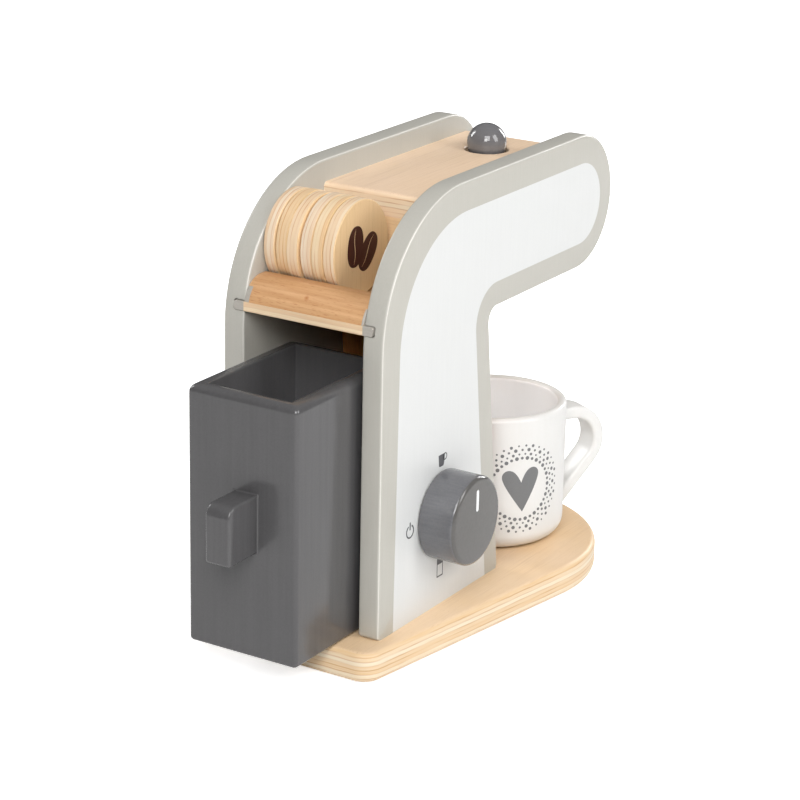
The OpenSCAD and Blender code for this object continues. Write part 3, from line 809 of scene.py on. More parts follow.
@dataclass
class BaseBoard:
    """The plywood base board and the screws in it."""

    front_r: float = 58.5
    corner_r: float = 8.0
    half_rear: float = 40.5
    edge_r: float = 2.5
    screw_r: float = 1.8
    head_r: float = 3.55

    def corners(self) -> list[Corner]:
        """Returns the plan's corners: two small ones at the rear, and two that make the round front."""
        least, most = low("base_board"), high("base_board")
        rear = Vector((self.half_rear - self.corner_r, most.y - self.corner_r))
        front = Vector((0, least.y + self.front_r))
        gap = rear - front
        lean = math.atan2(gap.y, gap.x) - math.acos((self.front_r - self.corner_r) / gap.length)
        normal = Vector((math.cos(lean), math.sin(lean)))
        reach = normal.dot(front) + self.front_r
        back_x, front_x = ((reach - normal.y * y) / normal.x for y in (most.y, least.y))
        return [(back_x, most.y, self.corner_r), (-back_x, most.y, self.corner_r),
                (-front_x, least.y, self.front_r), (front_x, least.y, self.front_r)]

    def build(self) -> None:
        """Models the board with its rolled edges and its countersunk holes."""
        thick = high("base_board").z
        board = Piece("base_plate", Drawing(Vector((0, 0, 0)), EAST, NORTH))
        board.round(self.corners(), 2.0).raise_by(thick).rims(self.edge_r, 6)
        least, most = low("base_screws"), high("base_screws")
        for x, y in itertools.product((least.x + self.head_r, most.x - self.head_r),
                                      (least.y + self.head_r, most.y - self.head_r)):
            down = Drawing(Vector((x, y, thick + OVER)), EAST, -TOP)
            board.cut(rod("hole", down, self.screw_r, thick + 2 * OVER, self.head_r - self.screw_r, 32))
        board.paint(BirchPlywood("birch_plywood_12mm", Axis.Z, 0.0, 12.0, 7, Axis.Y, "#E8CEB1", "#E8D9C0",
                                 "#DFBE92"))
        board.done(Body.BODY, Slot.PLYWOOD, "base_board")
        cad_finish(STEEL, "base_screws")


@dataclass
class SidePanels:
    """The two painted side panels with their white fields, the shelf's grooves and the knob's bore."""

    foot: float = 88.6
    neck: float = 75.4
    under: float = 110.1
    shoulder_r: float = 54.0
    crook_r: float = 5.5
    edge_r: float = 1.1
    foot_r: float = 1.4
    # How far sideways the normals point on the middle of the rolled edges, where the painted highlight line
    # lies.
    highlight_normals: tuple[float, float] = (0.5, 0.87)
    groove_depth: float = 4.9
    groove_gap: float = 0.3
    groove_r: float = 0.9
    shelf_low: float = 117.5
    shelf_high: float = 121.0
    shelf_len: float = 59.2
    spindle_r: float = 5.05
    bore_depth: float = 13.0
    washer_r: float = 9.5
    washer_depth: float = 4.0
    field_rear: float = 10.3
    field_rear_top: float = 12.1
    field_foot: float = 0.02
    field_top: float = 152.9
    field_tip: float = 162.7
    field_under: float = 119.95
    field_front: float = 10.2
    field_shoulder_r: float = 46.0
    field_crook_r: float = 15.0
    field_deep: float = 0.3
    field_proud: float = 0.05

    def outline(self) -> list[Corner]:
        """Returns the panel's corners, from its rear foot round the nose to its front foot."""
        size = high("right_side_panel") - low("right_side_panel")
        nose_r = (size.z - self.under) / 2
        return [(0, 0, self.foot_r), (0, size.z, self.shoulder_r), (-size.y, size.z, nose_r),
                (-size.y, self.under, nose_r), (-self.neck, self.under, self.crook_r),
                (-self.foot, 0, self.foot_r)]

    def field(self) -> list[Corner]:
        """Returns the white field's corners, in the same order."""
        slope = (self.foot - self.neck) / self.under
        shift = self.field_front * math.hypot(1, slope) - self.foot
        nose_r = (self.field_top - self.field_under) / 2
        return [(-self.field_rear, self.field_foot, 0),
                (-self.field_rear_top, self.field_top, self.field_shoulder_r),
                (-self.field_tip, self.field_top, nose_r), (-self.field_tip, self.field_under, nose_r),
                (slope * self.field_under + shift, self.field_under, self.field_crook_r),
                (shift, self.field_foot, 0)]

    def groove(self, inner: float, side: float) -> Piece:
        """Models the cutter of the shelf's groove, from the inner face of the panel on that side."""
        start = body_drawing(inner).origin + NORTH * OVER
        r, gap = self.groove_r, self.groove_gap
        tool = Piece("groove", Drawing(start, EAST * -side, TOP))
        tool.round(rectangle((-self.groove_depth, self.shelf_low - gap), (OVER, self.shelf_high + gap),
                             r, 0, 0, r), 15)
        return tool.all().pull(-NORTH * (self.shelf_len + OVER)).outwards()

    def bore(self, radius: float, depth: float) -> Piece:
        """Models the cutter of the spindle's bore or the washer's pocket, from the inner face."""
        axis = middle("knob")
        start = Vector((high("right_side_panel").x + OVER, axis.y, axis.z))
        return rod("bore", Drawing(start, NORTH, -EAST), radius, depth + OVER)

    def paint_highlight_line(self, made: Piece) -> None:
        """Gives the middle of the rolled edges a paler paint: a painted highlight line."""
        least, most = self.highlight_normals
        mesh = made.object().data
        mesh.materials.append(TAUPE_PAINTED_HIGHLIGHT.material())
        for face in mesh.polygons:
            if least < abs(face.normal.x) < most:
                face.material_index = 1

    def panel(self, name: str, node_name: str, side: float) -> None:
        """Models one panel and its white field.

        Args:
            name: The piece's name.
            node_name: The CAD node that it stands for.
            side: 1 for the left panel, -1 for the right one.
        """
        least, most = low(node_name), high(node_name)
        inner, outer = (least.x, most.x) if side > 0 else (most.x, least.x)
        made = Piece(name, body_drawing(least.x)).round(self.outline(), 3.0).raise_by(most.x - least.x)
        made.rims(self.edge_r, 5, lambda p: p.z < least.z + NEAR).cut(self.groove(inner, side))
        if side < 0:
            made.cut(self.bore(self.spindle_r, self.bore_depth))
            made.cut(self.bore(self.washer_r, self.washer_depth))
        made.paint(TAUPE)
        # A paler line on the middle of the rolled edges: a painted highlight.
        self.paint_highlight_line(made)
        made.done(Body.BODY, Slot.PANEL, node_name)
        start = min(outer - side * self.field_deep, outer + side * self.field_proud)
        made = Piece(name.replace("panel", "white_field"), body_drawing(start))
        made.round(self.field(), 3.0).raise_by(self.field_deep + self.field_proud)
        if side < 0:
            made.cut(self.bore(self.spindle_r, self.bore_depth))
        made.paint(FIELD).done(Body.BODY, Slot.PANEL)

    def build(self) -> None:
        """Models both panels."""
        self.panel("left_panel", "left_side_panel", 1)
        self.panel("right_panel", "right_side_panel", -1)


@dataclass
class CrossBoards:
    """The plywood boards between the panels, the pod shelf and the beech rail on it."""

    hole_r: float = 8.8
    hole_flare: float = 0.4
    edge_r: float = 2.0
    soft_r: float = 0.8
    rail_w: float = 14.0
    rail_h: float = 8.5
    rail_r: float = 11.0
    shelf_reach: float = 30.3
    left_strip: float = 2.2
    right_strip: float = 0.7
    strip_top: float = 5.4
    end_r: float = 0.3

    def top(self) -> None:
        """Models the top board with its rolled rear edge and the ball's hole."""
        least, most, ball = low("top_board"), high("top_board"), middle("button_stem")
        view = body_drawing(least.x)
        first, last = least - view.origin, most - view.origin
        board = Piece("top_plate", view)
        board.round(rectangle(first.yz, last.yz, 0, 0, self.edge_r, self.soft_r), 12).raise_by(last.x)
        up = Drawing(Vector((ball.x, ball.y, least.z - OVER)), EAST, TOP)
        board.cut(rod("hole", up, self.hole_r, most.z - least.z + 2 * OVER, self.hole_flare, 96))
        board.paint(BirchPlywood("birch_plywood_9mm_top", Axis.Z, least.z, 9.0, 5, Axis.Y, face="#F0D4B9",
                                 tan="#F2D5B4", seed=2.0))
        board.done(Body.BODY, Slot.PLYWOOD, "top_board")

    def shelf(self) -> None:
        """Models the thin shelf, whose ends in the panels' grooves are painted over."""
        least, most = low("pod_shelf"), high("pod_shelf")
        inner, reach = high("right_side_panel").x, self.shelf_reach
        plate = Piece("shelf_plate", Drawing(Vector((0, most.y, 0)), -EAST, TOP))
        plate.round(rectangle((-reach, least.z), (reach, most.z), self.soft_r), 20)
        plate.all().pull(-NORTH * (most.y - least.y)).outwards()
        for x in (inner, -inner):
            plate.slice(EAST * x, EAST)
        plate.paint(BirchPlywood("birch_plywood_3mm", Axis.Z, least.z, 3.5, 2, Axis.X, face="#EFD9B8",
                                 pale="#EFD9B8", tan="#E3C098", line=0.2, seed=1.0))
        plate.paint(STRAY_PAINT, lambda p: abs(p.x) > abs(inner))
        plate.done(Body.BODY, Slot.PLYWOOD, "pod_shelf")

    def rail(self) -> None:
        """Models the beech rail with its round back and the paint that strayed onto its ends."""
        least, most = low("pod_stop_rail"), high("pod_stop_rail")
        view = body_drawing(least.x)
        foot = least.z - view.origin.z
        drop = self.rail_r - self.rail_h
        reach = math.sqrt(self.rail_r ** 2 - drop ** 2) - self.rail_r
        turn = 90 - math.degrees(math.asin(drop / self.rail_r))
        made = Piece("beech_rail", view).start((-self.rail_w, foot)).line((reach, foot))
        made.arc((-self.rail_r, foot - drop), turn)
        made.line((-self.rail_w, foot + self.rail_h), (-self.rail_w, foot)).fill()
        made.raise_by(most.x - least.x).rims(self.end_r, 2)
        left, right, brim = most.x - self.left_strip, least.x + self.right_strip, least.z + self.strip_top
        made.slice(EAST * left, EAST).slice(EAST * right, EAST).slice(TOP * brim, TOP)
        made.paint(Beech("planed_beech_rail", Axis.X, "#CE9F71", "#C49263", "#D9AC7F", (0.2, 75.7, 138.2)))
        made.paint(STRAY_PAINT, lambda p: p.z < brim and (p.x > left or p.x < right))
        made.done(Body.BODY, Slot.BEECH, "pod_stop_rail")

    def build(self) -> None:
        """Models the boards that show their shape, and dresses the flat ones."""
        self.top()
        self.shelf()
        self.rail()
        cad_finish(BirchPlywood("birch_plywood_6mm", Axis.Y, low("pod_bay_board").y, 6.0, 3, Axis.X,
                                face="#F2D2A6", tan="#F0CFA4"), "pod_bay_board")
        # The column board's deep orange is partly painted warm bounce light in the bay's shade.
        cad_finish(SHADED_BEECH, "column_board")
        edge = low("arm_board").x
        cad_finish(BirchPlywood("birch_plywood_front", Axis.X, edge, 2 * abs(edge), 1, Axis.Z, line=0.0),
                   "nose_board", "arm_board", "button_guide")
        cad_finish(BEECH, "board_dowels", "button_stem", "knob_spindle")


@dataclass
class Pods:
    """The row of round plywood pods in their bay, with two beans printed on the last one."""

    edge_r: tuple[float, float, float] = (0.45, 0.85, 0.5)
    veneers: tuple[tuple[str, str], ...] = (("#ECD8BC", "#E2BF96"), ("#EBDCC6", "#DFBE99"),
                                            ("#EAD3B0", "#E0BB8D"))
    film: float = 0.04
    # Each bean lies this much higher than the one before.
    layer: float = 0.01
    # Across and up from the pod's middle, lean in degrees and half width.
    spots: tuple[tuple[float, float, float, float], ...] = ((4.1, 1.4, -7.3, 5.2), (-4.5, -2.1, -38.7, 4.9))
    bean_long: float = 7.8
    bean_steps: int = 28
    # The power of a bean's outline: 1 is an ellipse, and less is fuller.
    bean_full: float = 0.88
    # The crease's bow, place and half width, and the shares of the bean where it ends and closes.
    crease: tuple[float, float, float, float, float] = (0.7, 0.35, 0.22, 0.97, 0.9)

    def bare(self, number: int) -> Piece:
        """Models a pod without its finish."""
        name = f"pod_{number}"
        least, most, centre = low(name), high(name), middle(name)
        radius, rims = (most.z - least.z) / 2, (self.edge_r[number % 3],) * 2
        view = Drawing(Vector((least.x, centre.y, centre.z)), NORTH, EAST)
        return disc(f"pod_disc_{number}", view, radius, most.x - least.x, rims, (22, 22), 128)

    def dress(self, number: int, made: Piece) -> None:
        """Gives a bare pod its own plies."""
        name = f"pod_{number}"
        least, most = low(name).x, high(name).x
        pale, tan = self.veneers[number % 3]
        made.paint(BirchPlywood(f"birch_plywood_{name}", Axis.X, least, most - least, 3, Axis.Z, "#E8C999",
                                pale, tan, "#C88C54", 0.85, number * 3.7))
        made.done(Body(name), Slot.PLYWOOD, name)

    def half_bean(self, side: int, half_wide: float) -> list[Spot]:
        """Returns the outline of one half of a bean.

        Args:
            side: -1 or 1, the side of the crease that it lies on.
            half_wide: Half the bean's width.

        Returns:
            The outer edge's points, and then those of the curved crease.
        """
        bow, place, wide, reach, close = self.crease
        shares = [k / self.bean_steps for k in range(self.bean_steps + 1)]
        spots = []
        for a in (math.pi * (share - 0.5) for share in shares):
            spots.append((side * half_wide * abs(math.cos(a)) ** self.bean_full,
                          self.bean_long * math.copysign(abs(math.sin(a)) ** self.bean_full, a)))
        for t in (reach * (1 - 2 * share) for share in shares):
            middle_line = bow * math.sin(math.pi * t) + place
            spots.append((middle_line + side * wide * math.sqrt(max(0.0, 1 - (t / close) ** 2)),
                          self.bean_long * t))
        return spots

    def bean(self, number: int, spot: tuple[float, float, float, float]) -> None:
        """Models one printed bean: two brown halves that leave a curved crease between them."""
        lean = math.radians(spot[2])
        face = Drawing(Vector((low("pod_6").x, *middle("pod_6").yz)), NORTH, TOP)
        view = Drawing(face.at(*spot[:2]), NORTH * math.cos(lean) - TOP * math.sin(lean),
                       NORTH * math.sin(lean) + TOP * math.cos(lean))
        for half, side in (("a", -1), ("b", 1)):
            points = self.half_bean(side, spot[3])
            made = Piece(f"bean_{number}_{half}", view).start(points[0]).line(*points[1:], points[0]).fill()
            made.raise_by(math.copysign(self.film + self.layer * number, -view.normal().x))
            made.paint(INK_BROWN).done(Body.POD_6, Slot.PLYWOOD)

    def build(self) -> None:
        """Models the six pods and the printed beans."""
        for number in (1, 2, 3):
            bare = self.bare(number)
            shift = middle(f"pod_{number + 3}") - middle(f"pod_{number}")
            other = bare.twin(f"pod_disc_{number + 3}", shift)
            self.dress(number, bare)
            self.dress(number + 3, other)
        for number, spot in enumerate(self.spots, 1):
            self.bean(number, spot)


@dataclass
class Tank:
    """The tank with its handle, drawn out at the rear."""

    nodes: tuple[str, ...] = ("tank_rear_wall", "tank_front_wall", "tank_left_wall", "tank_right_wall",
                              "tank_floor")
    side_r: float = 1.6
    top_r: float = 3.0
    foot_r: float = 1.4
    rim_r: float = 0.6
    inside_r: float = 0.3
    side_wall: float = 6.0
    end_wall: float = 5.0
    floor: float = 6.0
    handle_r: float = 5.0
    handle_low_r: float = 1.4
    handle_edge: float = 1.0
    bead: float = 0.45

    def shell(self) -> None:
        """Models the open box with rolled edges."""
        least = Vector([min(low(n)[k] for n in self.nodes) for k in range(3)])
        most = Vector([max(high(n)[k] for n in self.nodes) for k in range(3)])
        shell = Piece("tank_shell", Drawing(TOP * least.z, EAST, NORTH))
        shell.round(rectangle(least.xy, most.xy, 0)).raise_by(most.z - least.z)
        shell.pick(lambda p: p.z > most.z - NEAR).bevel(self.top_r, 7)
        centre, half = (least + most) / 2, (most - least) / 2
        for east, north in itertools.product((-1, 1), (-1, 1)):

            def corner(p: Vector, east: int = east, north: int = north) -> bool:
                """Says whether a place is on an upright edge, up into the rolled rim."""
                a, b = half.x - east * (p.x - centre.x), half.y - north * (p.y - centre.y)
                return abs(a - b) < NEAR and a < self.top_r + 2 * SLACK

            shell.pick(corner).bevel(self.side_r, 5)
        shell.pick(lambda p: p.z < least.z + NEAR).bevel(self.foot_r, 3)
        walls = Vector((self.side_wall, self.end_wall, 0))
        first, last = least + walls, most - walls
        tool = Piece("inside", Drawing(TOP * (least.z + self.floor), EAST, NORTH))
        tool.round(rectangle(first.xy, last.xy, self.inside_r), 45).raise_by(most.z - least.z)

        def rim(p: Vector) -> bool:
            """Says whether a place is on the rim's inner edge."""
            return (p.z > most.z - NEAR and first.x - SLACK < p.x < last.x + SLACK
                    and first.y - SLACK < p.y < last.y + SLACK)

        shell.cut(tool).edit().pick(rim).bevel(self.rim_r, 3)
        shell.paint(GREY).done(Body.TANK, Slot.GREY, *self.nodes)

    def handle(self) -> None:
        """Models the handle block with its round upper edge, and the bead of paint at its foot."""
        least, most = low("tank_handle"), high("tank_handle")
        size = most - least
        made = Piece("tank_handle_block", Drawing(least, NORTH, TOP))
        made.round(rectangle((0, 0), size.yz, 0, self.handle_low_r, self.handle_r, 0), 8).raise_by(size.x)
        made.rims(self.handle_edge, 4, lambda p: p.y < least.y + NEAR)
        made.paint(GREY).done(Body.TANK, Slot.GREY, "tank_handle")
        w = self.bead
        bead = Piece("tank_handle_paint_bead", Drawing(NORTH * least.y, -EAST, TOP))
        bead.round(rectangle((-most.x - w, least.z - w), (w - least.x, most.z + w), w), 22).raise_by(w)
        bead.pick(lambda p: p.y > least.y + w - NEAR).bevel(w * 0.9, 3, 0.3)
        bead.paint(GREY).done(Body.TANK, Slot.GREY)

    def build(self) -> None:
        """Models the tank's pieces."""
        self.shell()
        self.handle()
        cad_finish(STEEL, "tank_handle_screws")


@dataclass
class PushButton:
    """The ball on top, its ring and its spring; the stem and the guide are dressed with the boards."""

    radius: float = 8.0
    wire_r: float = 0.45
    turns: int = 5
    stroke: float = 4.0

    def spring(self) -> None:
        """Models the coil at rest; the real coil shortens as the button is pressed, which this mesh does
        not.
        """
        least, most, centre = low("button_spring"), high("button_spring"), middle("button_spring")
        reach, tall = (most.x - least.x) / 2, most.z - least.z
        made = Piece("button_spring_coil", Drawing(TOP * self.wire_r, EAST, TOP))
        made.start((reach, 0)).arc((reach - self.wire_r, 0), 360, 30).weld()
        made.modify("SCREW", iterations=self.turns, steps=32, render_steps=32,
                    screw_offset=(tall - 2 * self.wire_r) / self.turns * MM)
        anchor = Vector((centre.x, centre.y, least.z)) * MM
        made.edit().weld()
        bpy.ops.mesh.fill_holes(sides=0)
        bpy.ops.transform.translate(value=anchor)
        obj = made.outwards().paint(STEEL).done(Body.BODY, Slot.STEEL, "button_spring")
        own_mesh(obj)

    def build(self) -> None:
        """Models the ball with the flat for its stem, and the spring."""
        least, most, stem = low("button_ball"), high("button_ball"), middle("button_stem")
        centre = Vector((stem.x, stem.y, most.z - self.radius))
        drop = centre.z - least.z
        turn = math.degrees(math.acos(drop / self.radius))
        made = Piece("ball_head", Drawing(centre, EAST, TOP)).start((0, -drop))
        made.line((math.sqrt(self.radius ** 2 - drop ** 2), -drop)).arc((0, 0), 180 - turn, 3).lathe(96)
        # The ball's lighter grey is a painted reflection of its pale surroundings.
        made.paint(BALL_GREY).done(Body.BUTTON, Slot.GREY, "button_ball")
        self.spring()
        cad_finish(STEEL, "button_ring")


@dataclass
class Knob:
    """The turned knob with its white bar, and the marks round it on the panel."""

    back_r: float = 0.8
    front_r: float = 2.0
    bar_long: float = 8.6
    bar_wide: float = 1.7
    bar_low: float = 4.0
    # Faces this near to the full radius are the knob's side.
    side: float = 0.2
    film: float = 0.05
    # The marks' distance from the knob's middle: the cup above, the glass below, the power mark behind.
    ring: float = 21.9
    power: float = 22.5
    cup: tuple[Corner, ...] = ((-0.9, -2.9, 0.8), (2.5, -2.9, 0.8), (3.0, 1.9, 0.2), (-1.6, 1.9, 0.2))
    loop: Spot = (-1.7, 0.5)
    loop_r: tuple[float, float] = (1.5, 1.05)
    power_low: float = -0.4
    power_r: tuple[float, float] = (2.75, 2.15)
    power_gap: float = 52.0
    power_bar: tuple[Spot, Spot] = ((-0.35, 0.2), (0.35, 3.3))
    glass: tuple[Spot, Spot] = ((-2.2, -4.2), (2.2, 3.6))
    # The glass's opening.
    drink: tuple[Spot, Spot] = ((-1.8, -3.7), (1.8, 1.0))

    def head(self) -> None:
        """Models the knob and the white bar on its face."""
        least, most, centre = low("knob"), high("knob"), middle("knob")
        radius = (most.z - least.z) / 2
        view = Drawing(Vector((most.x, centre.y, centre.z)), NORTH, -EAST)
        made = disc("knob_head", view, radius, most.x - least.x, (self.back_r, self.front_r), (20, 10), 160)
        # The side's lighter, cooler grey is a painted sheen; its strokes are the brushed grain.
        made.paint(KNOB_GREY).paint(KNOB_SIDE_PAINTED_SHEEN, lambda p: (p - centre).yz.length > radius - self.side)
        made.done(Body.KNOB, Slot.GREY, "knob")
        w, start = self.bar_wide / 2, self.bar_low
        view = Drawing(Vector((least.x - self.film, centre.y, centre.z)), NORTH, TOP)
        bar = Piece("knob_bar", view).round(rectangle((-w, start), (w, start + self.bar_long), w), 20)
        bar.raise_by(self.film * 2).paint(INK_WHITE).done(Body.KNOB, Slot.WHITE)

    def view(self, spot: Spot) -> Drawing:
        """Returns a mark's drawing in the white field, to the rear and up from the knob's middle."""
        centre = middle("knob")
        face = low("right_side_panel").x - SidePanels.field_proud
        return Drawing(Vector((face - self.film, centre.y + spot[0], centre.z + spot[1])), NORTH, TOP)

    def mark(self, name: str, spot: Spot, outline: Sequence[Corner],
             hole: Sequence[Corner] | None = None) -> None:
        """Models one printed mark on the panel's white field.

        Args:
            name: The mark's name.
            spot: Its place, to the rear and up from the knob's middle.
            outline: Its corners, from that place.
            hole: The corners of its opening.
        """
        view = self.view(spot)
        made = Piece(name, view).round(outline, 15).raise_by(self.film * 2)
        if hole:
            inner = Drawing(view.origin - EAST * OVER, NORTH, TOP)
            made.cut(Piece("hole", inner).round(hole, 15).raise_by(2 * OVER))
        made.paint(INK_DARK).done(Body.BODY, Slot.PANEL)

    def power_ring(self) -> None:
        """Models the power mark's ring, open at the top."""
        lean, turn = math.radians(90 - self.power_gap / 2), 360 - self.power_gap
        (x0, y0), (x1, y1) = ((r * math.cos(lean), r * math.sin(lean)) for r in self.power_r)
        made = Piece("mark_power_ring", self.view((self.power, self.power_low))).start((-x0, y0))
        made.arc((0, 0), turn, 10).line((x1, y1)).arc((0, 0), -turn, 10).fill().raise_by(self.film * 2)
        made.paint(INK_DARK).done(Body.BODY, Slot.PANEL)

    def marks(self) -> None:
        """Models the cup, power and tall glass marks."""
        self.mark("mark_cup", (0, self.ring), self.cup)
        outer, inner = (rectangle((-r, -r), (r, r), r) for r in self.loop_r)
        self.mark("mark_cup_handle", (self.loop[0], self.ring + self.loop[1]), outer, inner)
        self.power_ring()
        self.mark("mark_power_bar", (self.power, 0), rectangle(*self.power_bar, 0, 0, 0.3, 0.3))
        self.mark("mark_glass", (0, -self.ring), rectangle(*self.glass, 0.2, 0.2, 0, 0),
                  rectangle(*self.drink, 0))

    def build(self) -> None:
        """Models the knob and its marks."""
        self.head()
        self.marks()
        cad_finish(STEEL, "knob_washer", "knob_screw")


@dataclass
class Mug:
    """The turned mug with its handle, and the heart and dots printed on it."""

    radius: float = 29.5
    height: float = 56.5
    wall: float = 4.0
    floor: float = 6.0
    foot_r: float = 7.0
    inner_r: float = 5.0
    # How far the brighter white inside, which is painted light, reaches out over the rim.
    inside_light_reach: float = 0.4
    centre_x: float = -10.5
    centre_y: float = -46.2
    turn: float = 241.0
    loop_w: float = 11.5
    loop_r: float = 15.0
    loop_thk: float = 5.1
    loop_out: float = 6.25
    loop_up: float = 33.0
    loop_fall: float = 42.5
    loop_edge: float = 1.4
    heart_turn: float = 143.3
    heart_up: float = 28.5
    heart_lean: float = 3.5
    # The right half: tip, notch, widest place and top of the lobe.
    heart_shape: tuple[Spot, Spot, Spot, Spot] = ((0, -11.5), (0, 0.9), (8.0, 3.9), (5.2, 6.7))
    # Where the side under the lobe and the lobe's inner side head for.
    heart_pull: tuple[float, float] = (0.8, 2.2)
    # The heart is cut into strips this wide, so that it bends with the wall.
    heart_strip: float = 1.4
    ring_up: float = -1.7
    ring_r: float = 13.1
    ring_step: float = 1.75
    dot_count: int = 36
    dot_rows: tuple[tuple[float, ...], ...] = ((0.8, 0.62), (0.42, 0.6, 0.42), (0.74, 0.5),
                                               (0.4, 0.64, 0.46))
    film: float = 0.06

    def base(self) -> Vector:
        """Returns the middle of the mug's foot."""
        return Vector((self.centre_x, self.centre_y, low("mug_body").z))

    def cup(self) -> None:
        """Models the mug's body."""
        r, w, h = self.radius, self.wall, self.height
        base = self.base()
        made = Piece("mug_cup", Drawing(base, EAST, TOP)).start((0, 0)).line((r - self.foot_r, 0))
        made.arc((r - self.foot_r, self.foot_r), 90, 6).line((r, h - w / 2))
        made.arc((r - w / 2, h - w / 2), 180, 12).line((r - w, self.floor + self.inner_r))
        made.arc((r - w - self.inner_r, self.floor + self.inner_r), -90, 10)
        made.line((0, self.floor)).lathe(144)
        # The inside gets a brighter white than the outside: painted light down to the cup's floor.
        made.paint(MUG_WHITE).paint(MUG_INSIDE_PAINTED_LIGHT, lambda p: p.z > base.z + self.floor - 2 * SLACK
                                    and (p - base).xy.length < r - w + self.inside_light_reach)
        made.done(Body.MUG, Slot.WHITE, "mug_body")

    def handle(self) -> None:
        """Models the handle: a flat bend with soft edges."""
        lean, fall = math.radians(self.turn), math.radians(self.loop_fall)
        out = Vector((math.cos(lean), math.sin(lean), 0))
        view = Drawing(self.base() - out.cross(TOP) * self.loop_w / 2, out, TOP)
        x, z = self.radius + self.loop_out, self.loop_up
        root = self.radius - self.wall / 2

        def tip(r: float) -> Spot:
            """Returns where the bend of a radius ends."""
            return x + r * math.cos(fall), z - r * math.sin(fall)

        def end(r: float) -> Spot:
            """Returns where the straight tail of a bend meets the mug."""
            return root, tip(r)[1] - (tip(r)[0] - root) / math.tan(fall)

        outer, inner = self.loop_r, self.loop_r - self.loop_thk
        made = Piece("mug_handle_bend", view).start(end(outer)).line(tip(outer))
        made.arc((x, z), 90 + self.loop_fall).line((root, z + outer), (root, z + inner), (x, z + inner))
        made.arc((x, z), -90 - self.loop_fall).line(end(inner), end(outer)).fill().raise_by(self.loop_w)
        made.rims(self.loop_edge).paint(MUG_WHITE).done(Body.MUG, Slot.WHITE, "mug_handle")

    def view(self) -> Drawing:
        """Returns the flat drawing of the print: X round the mug, Y outwards and Z up from the heart."""
        return Drawing(Vector((0, self.film, self.base().z + self.heart_up)), EAST, TOP)

    def wrap(self, made: Piece) -> None:
        """Lays a flat print round the mug's wall, and inks it."""
        base = self.base() * MM
        for vertex in made.object().data.vertices:
            angle = math.radians(self.heart_turn) + vertex.co.x / (self.radius * MM)
            reach = self.radius * MM + vertex.co.y
            vertex.co = (base.x + reach * math.cos(angle), base.y + reach * math.sin(angle), vertex.co.z)
        made.edit().outwards().paint(INK_GREY).done(Body.MUG, Slot.WHITE)

    def heart(self) -> None:
        """Models the printed heart."""
        tip, notch, wide, top = self.heart_shape
        r = top[1] - wide[1]
        half = curve(tip, (wide[0], self.heart_pull[0]), wide)
        half += [(top[0] + r * math.cos(t), wide[1] + r * math.sin(t))
                 for t in (math.pi / 24 * k for k in range(1, 12))]
        half += curve(top, (self.heart_pull[1], top[1]), notch) + [notch]
        lean = Matrix.Rotation(math.radians(self.heart_lean), 2)
        points = [tuple(lean @ Vector(point)) for point in half + [(-x, y) for x, y in half[-2:0:-1]]]
        made = Piece("mug_heart", self.view()).start(points[0]).line(*points[1:], points[0])
        made.fill().raise_by(self.film * 2)
        for k in range(-5, 6):
            made.slice(EAST * k * self.heart_strip, EAST)
        self.wrap(made)

    def dots(self) -> None:
        """Models the ring of dots: rows of alternating size round the heart, evenly spaced."""
        view = self.view()
        dots = Piece("mug_dots", view)
        bpy.ops.mesh.delete(type="VERT")
        for row, sizes in enumerate(self.dot_rows):
            reach = self.ring_r + self.ring_step * row
            for k in range(self.dot_count):
                angle = math.tau * (k + 0.5 * (row % 2)) / self.dot_count
                place = view.at(reach * math.cos(angle), self.ring_up + reach * math.sin(angle))
                bpy.ops.mesh.primitive_circle_add(vertices=14, radius=sizes[k % len(sizes)] * MM,
                                                  fill_type="NGON", location=place * MM,
                                                  rotation=(math.pi / 2, 0, 0))
                dots.pull(view.normal() * self.film * 2)
        self.wrap(dots)

    def build(self) -> None:
        """Models the mug's pieces."""
        self.cup()
        self.handle()
        self.heart()
        self.dots()


@dataclass
class Spout:
    """The painted spout under the arm: a tapered tip with a drip hole, a collar and a peg."""

    hole_r: float = 2.0
    hole_deep: float = 6.0
    hole_edge: float = 0.4
    tip_r: float = 4.0
    tip_edge: float = 0.5
    # Where the taper ends under the collar, and its small cove.
    taper: tuple[Spot, Spot] = ((5.4, 7.4), (5.5, 8.0))
    collar_r: float = 9.0
    collar_edge: float = 0.8
    collar_low: float = 8.0
    collar_high: float = 12.0
    peg_r: float = 4.0

    def build(self) -> None:
        """Models the spout."""
        least, most, centre = low("spout"), high("spout"), middle("spout")
        tall = most.z - least.z
        edge, rim = self.collar_edge, self.collar_r - self.collar_edge
        made = Piece("spout_turning", Drawing(Vector((centre.x, centre.y, least.z)), EAST, TOP))
        made.start((0, self.hole_deep)).line((self.hole_r, self.hole_deep), (self.hole_r, self.hole_edge),
                                             (self.hole_r + self.hole_edge, 0), (self.tip_r, 0))
        made.arc((self.tip_r, self.tip_edge), 80, 20).line(*self.taper, (rim, self.collar_low))
        made.arc((rim, self.collar_low + edge), 90, 20).line((self.collar_r, self.collar_high))
        made.line((self.peg_r, self.collar_high), (self.peg_r, tall), (0, tall)).lathe(96)
        made.paint(KNOB_GREY).done(Body.BODY, Slot.GREY, "spout")


